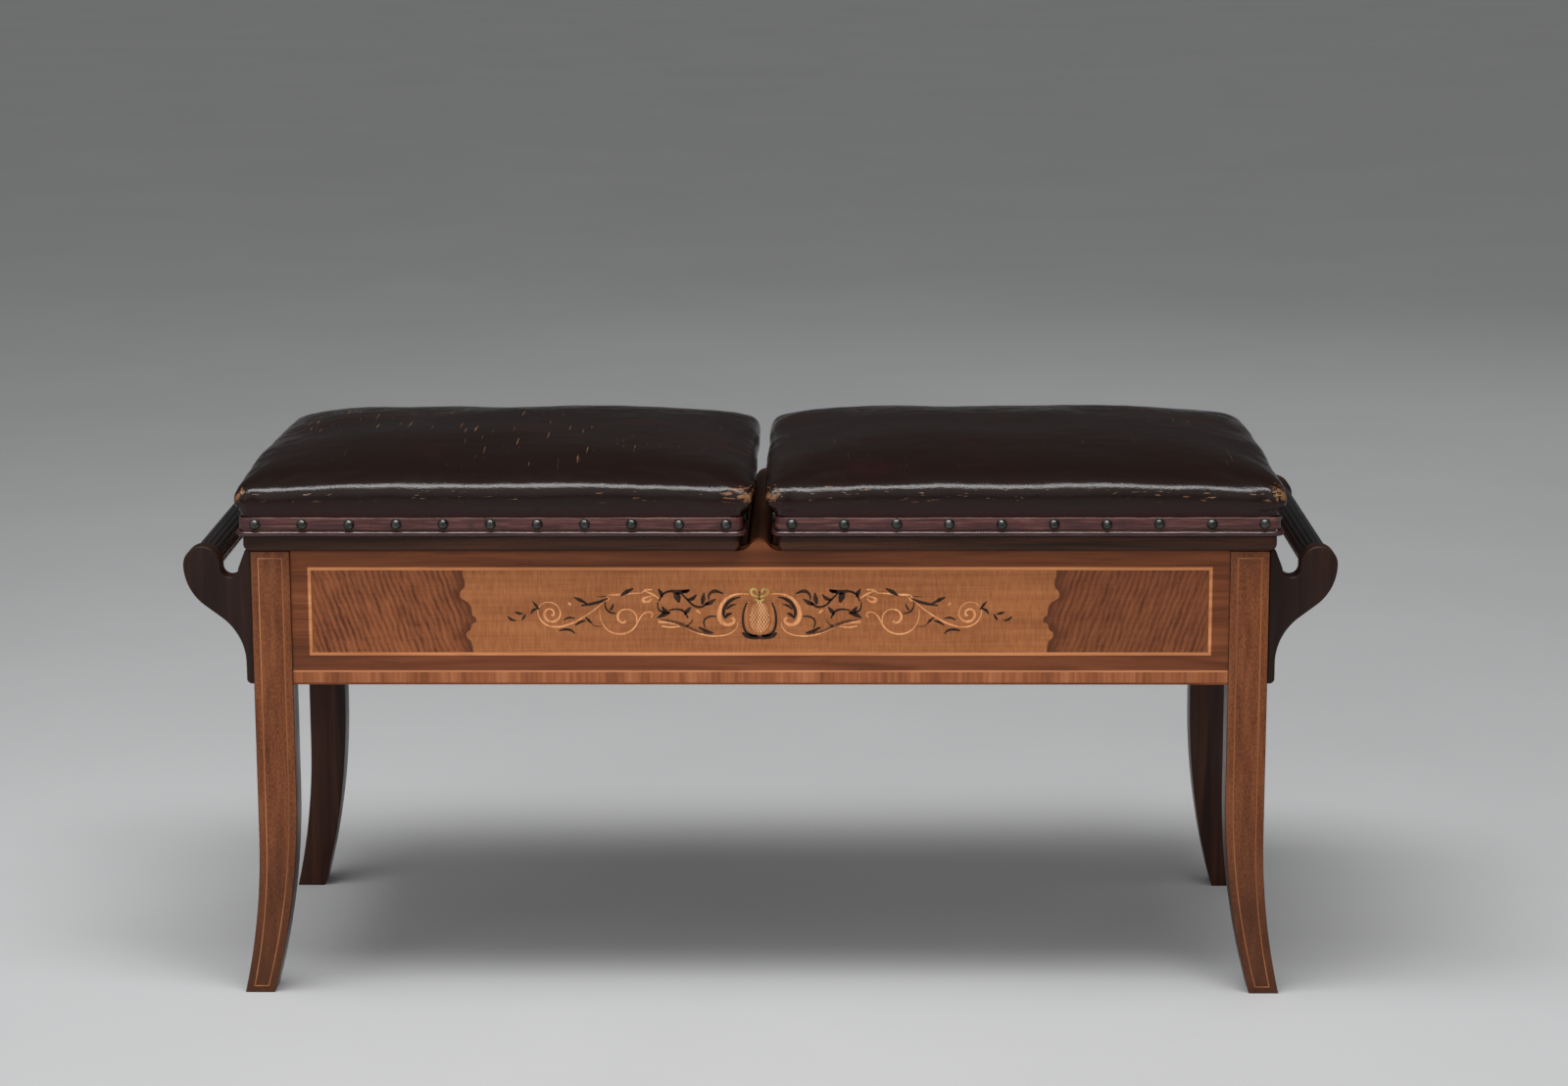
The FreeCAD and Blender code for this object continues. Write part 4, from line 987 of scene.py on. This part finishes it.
# Marquetry: thin let-in shapes, drawn as strokes (across, down, width) on a grid over the left half
inlayGrid = {"unit": 0.000165, "axis": 1513, "top": 0.4170, "proud": 0.00007, "fullness": 1.3,
             "darkFullness": 1.85}
paleStrokes = [
    [(610, 140, 4), (545, 195, 6), (470, 245, 8), (400, 280, 10), (320, 296, 9), (258, 278, 8), (226, 240, 7),
     (218, 198, 5), (236, 163, 4), (280, 148, 4), (322, 162, 5), (345, 195, 6), (345, 232, 9), (322, 258, 12),
     (286, 262, 13), (260, 240, 12), (257, 208, 11), (280, 189, 9), (304, 197, 9), (311, 217, 8),
     (298, 230, 13)],
    [(880, 240, 7), (886, 216, 7), (860, 207, 7), (830, 222, 7), (806, 258, 7), (785, 295, 8), (748, 326, 9),
     (700, 338, 9), (640, 325, 7), (600, 285, 6), (581, 235, 5), (580, 192, 4)],
    [(796, 268, 9), (792, 228, 7), (766, 198, 6), (726, 191, 7), (696, 206, 10), (684, 236, 12),
     (696, 262, 11), (720, 270, 10), (733, 258, 12)],
    [(615, 140, 4), (632, 112, 14), (690, 103, 10), (752, 97, 8), (822, 93, 5)],
    [(625, 145, 4), (634, 125, 12), (640, 108, 6)],
    [(820, 95, 5), (848, 76, 11), (888, 72, 7)],
    [(846, 82, 5), (886, 100, 12), (928, 126, 5)],
    [(884, 112, 4), (856, 118, 8), (832, 134, 16), (858, 146, 12), (886, 126, 5)],
    [(1450, 100, 4), (1400, 98, 8), (1345, 112, 12), (1302, 148, 16), (1280, 200, 20), (1282, 248, 22),
     (1308, 278, 18), (1348, 278, 16), (1366, 254, 13), (1350, 240, 16)],
    [(920, 264, 16), (990, 270, 12), (1060, 288, 10), (1130, 322, 9), (1200, 346, 8), (1270, 350, 7),
     (1340, 335, 6), (1378, 302, 5), (1386, 268, 4)],
    [(940, 290, 8), (990, 298, 10), (1050, 292, 6)],
    [(1140, 196, 6), (1156, 204, 12), (1166, 216, 6)],
    [(395, 150, 5), (404, 158, 13), (410, 168, 5)],
]
darkStrokes = [
    [(186, 142, 3), (206, 166, 10), (226, 192, 4)], [(176, 218, 4), (190, 196, 11), (222, 184, 4)],
    [(428, 118, 4), (462, 134, 14), (508, 158, 5)],
    [(470, 168, 5), (540, 156, 11), (590, 142, 10), (628, 124, 4)],
    [(704, 108, 6), (738, 86, 17), (776, 66, 6)],
    [(611, 146, 4), (616, 184, 6), (640, 208, 7), (674, 216, 4)],
    [(640, 195, 8), (654, 174, 8), (660, 154, 3)],
    [(922, 68, 4), (938, 94, 16), (946, 118, 6)],
    [(926, 142, 5), (948, 102, 7), (990, 82, 9), (1042, 88, 18), (1106, 74, 6)],
    [(1026, 92, 20), (1034, 118, 26), (1044, 150, 8)], [(1060, 82, 10), (1086, 84, 14), (1104, 78, 5)],
    [(918, 148, 5), (924, 190, 6), (962, 214, 8)], [(944, 174, 5), (960, 198, 16), (990, 212, 6)],
    [(916, 242, 4), (952, 222, 18), (990, 212, 6)],
    [(984, 196, 5), (1032, 190, 7), (1070, 202, 9), (1096, 244, 5)],
    [(1074, 222, 6), (1092, 200, 16), (1112, 176, 4)],
    [(1056, 94, 5), (1092, 132, 8), (1130, 168, 8), (1172, 176, 9), (1214, 150, 8)],
    [(1094, 134, 8), (1122, 126, 15), (1146, 102, 4)], [(1178, 160, 10), (1184, 128, 18), (1190, 90, 4)],
    [(1196, 162, 10), (1226, 150, 17), (1258, 128, 4)],
    [(1216, 132, 5), (1220, 102, 8), (1250, 82, 14), (1302, 97, 4)],
    [(1196, 300, 4), (1188, 262, 6), (1214, 236, 7), (1262, 232, 4)],
    [(1158, 298, 8), (1200, 320, 13), (1244, 332, 4)],
    [(1404, 116, 4), (1350, 134, 12), (1316, 170, 13), (1303, 214, 11), (1312, 246, 5)],
    [(1312, 240, 6), (1330, 222, 14), (1352, 214, 5)],
    [(338, 318, 4), (374, 311, 10), (414, 318, 8), (432, 336, 4)],
    [(434, 286, 4), (466, 266, 10), (494, 258, 4)],
    [(494, 238, 4), (516, 258, 10), (534, 276, 4)], [(368, 254, 4), (398, 240, 8), (432, 244, 4)],
    [(38, 232, 4), (58, 250, 10), (88, 258, 4)], [(82, 207, 4), (106, 214, 11), (128, 219, 4)],
    [(124, 254, 5), (136, 236, 9), (144, 218, 4)],
    [(1440, 150, 5), (1424, 190, 7), (1416, 240, 8), (1420, 292, 9), (1432, 324, 9)],
    [(1412, 330, 8), (1432, 345, 16), (1470, 356, 17), (1513, 358, 14)],
    [(1430, 322, 8), (1462, 344, 12), (1500, 350, 10)],
    [(1322, 190, 6), (1346, 169, 9), (1378, 160, 3)],
]
brownStrokes = [
    [(932, 252, 6), (1000, 262, 16), (1080, 290, 18), (1150, 322, 14), (1240, 340, 5)],
    [(1084, 294, 8), (1112, 270, 12), (1126, 246, 4)],
    [(560, 116, 3), (596, 114, 7), (624, 112, 3)], [(530, 280, 4), (560, 292, 6), (592, 292, 3)],
]
greenStrokes = [
    [(1513, 136, 14), (1513, 112, 9), (1513, 92, 12), (1513, 80, 5)],
    [(1510, 116, 6), (1484, 110, 10), (1464, 92, 13), (1470, 72, 13), (1494, 74, 11), (1500, 90, 5)],
    [(1486, 130, 6), (1500, 138, 11), (1513, 140, 13)],
]
pineapple = {"centreDown": 238, "halfWide": 57, "halfHigh": 92, "hatchStep": 28, "hatchWidth": 3.8,
             "slant": 0.62}


def drawStrokes(name, strokes, material, slot, lift, mirrored, fullness):
    curve = bpy.data.curves.new(name, "CURVE")
    curve.dimensions = "3D"
    curve.bevel_depth = inlayGrid["unit"] / 2
    curve.bevel_resolution = 1
    curve.use_fill_caps = True
    curve.resolution_u = 5
    for flip in ((1, -1) if mirrored else (1,)):
        for stroke in strokes:
            spline = curve.splines.new("BEZIER")
            spline.bezier_points.add(len(stroke) - 1)
            for point, (across, down, width) in zip(spline.bezier_points, stroke):
                x = flip * (across - inlayGrid["axis"]) * inlayGrid["unit"]
                point.co = (x, 0, inlayGrid["top"] - down * inlayGrid["unit"])
                point.radius = width * fullness
                point.handle_left_type = "AUTO"
                point.handle_right_type = "AUTO"
    piece = curveToMesh(name, curve)
    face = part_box("front_panel")[0][1]
    for vertex in piece.data.vertices:
        flat = max(-1.0, min(1.0, vertex.co.y / inlayGrid["unit"]))
        vertex.co.y = face + flat * lift - 0.3 * lift
    smoothByAngle(piece, 60)
    enterBody(piece, "base", slot, material)


def pineappleHatch():
    lines = []
    wide, high, middle = pineapple["halfWide"], pineapple["halfHigh"], pineapple["centreDown"]
    reach = int(2.2 * high / pineapple["hatchStep"])
    for lean in (pineapple["slant"], -pineapple["slant"]):
        for number in range(-reach, reach + 1):
            offset = number * pineapple["hatchStep"]
            # where the slanting line crosses the oval
            a = 1 / wide ** 2 + 1 / (lean * high) ** 2
            b = 2 * offset / (lean * high ** 2)
            c = offset ** 2 / high ** 2 - 1
            inside = b * b - 4 * a * c
            if inside <= 0:
                continue
            ends = [(-b + turn * math.sqrt(inside)) / (2 * a) for turn in (-1, 1)]
            lines.append([(inlayGrid["axis"] + x, middle + x / lean + offset, pineapple["hatchWidth"])
                          for x in ends])
    return lines


oval = [(inlayGrid["axis"], pineapple["centreDown"] + down, wide) for down, wide in
        ((-92, 16), (-78, 60), (-50, 94), (-12, 112), (25, 114), (58, 96), (80, 60), (92, 16))]
beadSpots = ((1450, 150), (1444, 166), (1440, 182), (1437, 198), (1435, 214), (1434, 230), (1434, 246),
             (1436, 262), (1439, 278), (1444, 294), (1451, 309))
beadRows = [[(spot, down + lift, 5) for lift in (-3, 3)] for spot, down in beadSpots]
usual = inlayGrid["fullness"]
for name, strokes, wood, slot, lift, mirrored, fullness in (
        ("pale_scrolls", paleStrokes, "paleInlay", "satinwood", 1.0, True, usual),
        ("dark_leaves", darkStrokes, "darkInlay", "dark_mahogany", 1.3, True, inlayGrid["darkFullness"]),
        ("brown_leaves", brownStrokes, "brownInlay", "figured_veneer", 1.2, True, usual),
        ("pineapple_beads", beadRows, "paleInlay", "satinwood", 1.3, True, usual),
        ("pineapple_crown", greenStrokes, "greenInlay", "satinwood", 1.3, True, usual),
        ("pineapple_fruit", [oval], "paleInlay", "satinwood", 1.1, False, 1.0),
        ("pineapple_hatching", pineappleHatch(), "brownInlay", "figured_veneer", 1.6, False, 1.0)):
    drawStrokes(name, strokes, woods[wood], slot, lift * inlayGrid["proud"], mirrored, fullness)
print("marquetry made")


# Studio: pale floor, grey surroundings, soft lamps, the camera of the photograph
studio = {
    "floorSize": 60, "floorTone": (0.38, 0.383, 0.387), "worldTone": (0.045, 0.0455, 0.046),
    "domeTone": (0.95, 0.95, 0.95), "domeFrom": (-0.3, -0.62, 0.73), "domePower": 2.0,
    "lens": 85, "sensor": 36, "eye": (0.0723, -3.6819, 1.1540), "yaw": 0.0139, "pitch": 0.1991,
    "roll": -0.003,
}
bpy.ops.mesh.primitive_plane_add(size=studio["floorSize"], location=(0, 0, 0))
floor = bpy.context.active_object
floor.name = "floor"
floorMaterial, shader, place = newMaterial("paleFloor")
mottle = noiseOn(place, 1.6, 5.0, 0.6)
paler = tuple(1.06 * tone for tone in studio["floorTone"])
plug(ramp(mottle, (0.3, 0.7), (studio["floorTone"], paler)), shader, "Base Color")
plug(0.85, shader, "Roughness")
dress(floor, floorMaterial)

world = bpy.data.worlds.new("studio")
world.use_nodes = True
bench["tree"] = world.node_tree
background = world.node_tree.nodes["Background"]
towards = put("VectorMath", {"operation": "DOT_PRODUCT"})
feed(towards.inputs[0], put("TexCoord").outputs["Generated"])
feed(towards.inputs[1], studio["domeFrom"])
dome = calc("POWER", calc("MAXIMUM", towards.outputs["Value"], 0.0), studio["domePower"])
plug(blendColour(dome, studio["worldTone"], studio["domeTone"]), background, "Color")
plug(1.0, background, "Strength")
bpy.context.scene.world = world
lamps = {
    "overhead": {"at": (-0.2, -0.70, 2.7), "aim": (0, 0.0, 0.45), "size": (2.6, 0.9), "watts": 86},
    "right": {"at": (3.6, -0.5, 1.7), "aim": (0.5, 0, 0.3), "size": (2.4, 2.0), "watts": 15},
    "rear": {"at": (1.6, 3.4, 2.4), "aim": (0, 0, 0.3), "size": (3.0, 2.0), "watts": 16},
    "front": {"at": (-1.4, -3.4, 1.7), "aim": (0, 0, 0.35), "size": (3.4, 2.6), "watts": 46},
}
for name, lamp in lamps.items():
    bpy.ops.object.light_add(type="AREA", location=lamp["at"])
    light = bpy.context.active_object
    light.name = name
    light.data.shape = "RECTANGLE"
    light.data.size, light.data.size_y = lamp["size"]
    light.data.energy = lamp["watts"]
    light.visible_glossy = name == "overhead"
    light.rotation_euler = (Vector(lamp["aim"]) - Vector(lamp["at"])).to_track_quat("-Z", "Y").to_euler()
bpy.ops.object.camera_add(location=studio["eye"])
camera = bpy.context.active_object
camera.data.lens = studio["lens"]
camera.data.sensor_width = studio["sensor"]
camera.data.sensor_fit = "HORIZONTAL"
turn = Matrix.Rotation(studio["yaw"], 4, "Z") @ Matrix.Rotation(math.pi / 2 - studio["pitch"], 4, "X")
camera.matrix_world = Matrix.Translation(studio["eye"]) @ turn @ Matrix.Rotation(studio["roll"], 4, "Z")
bpy.context.scene.camera = camera
bpy.context.scene.view_settings.view_transform = "Standard"
print("studio set")
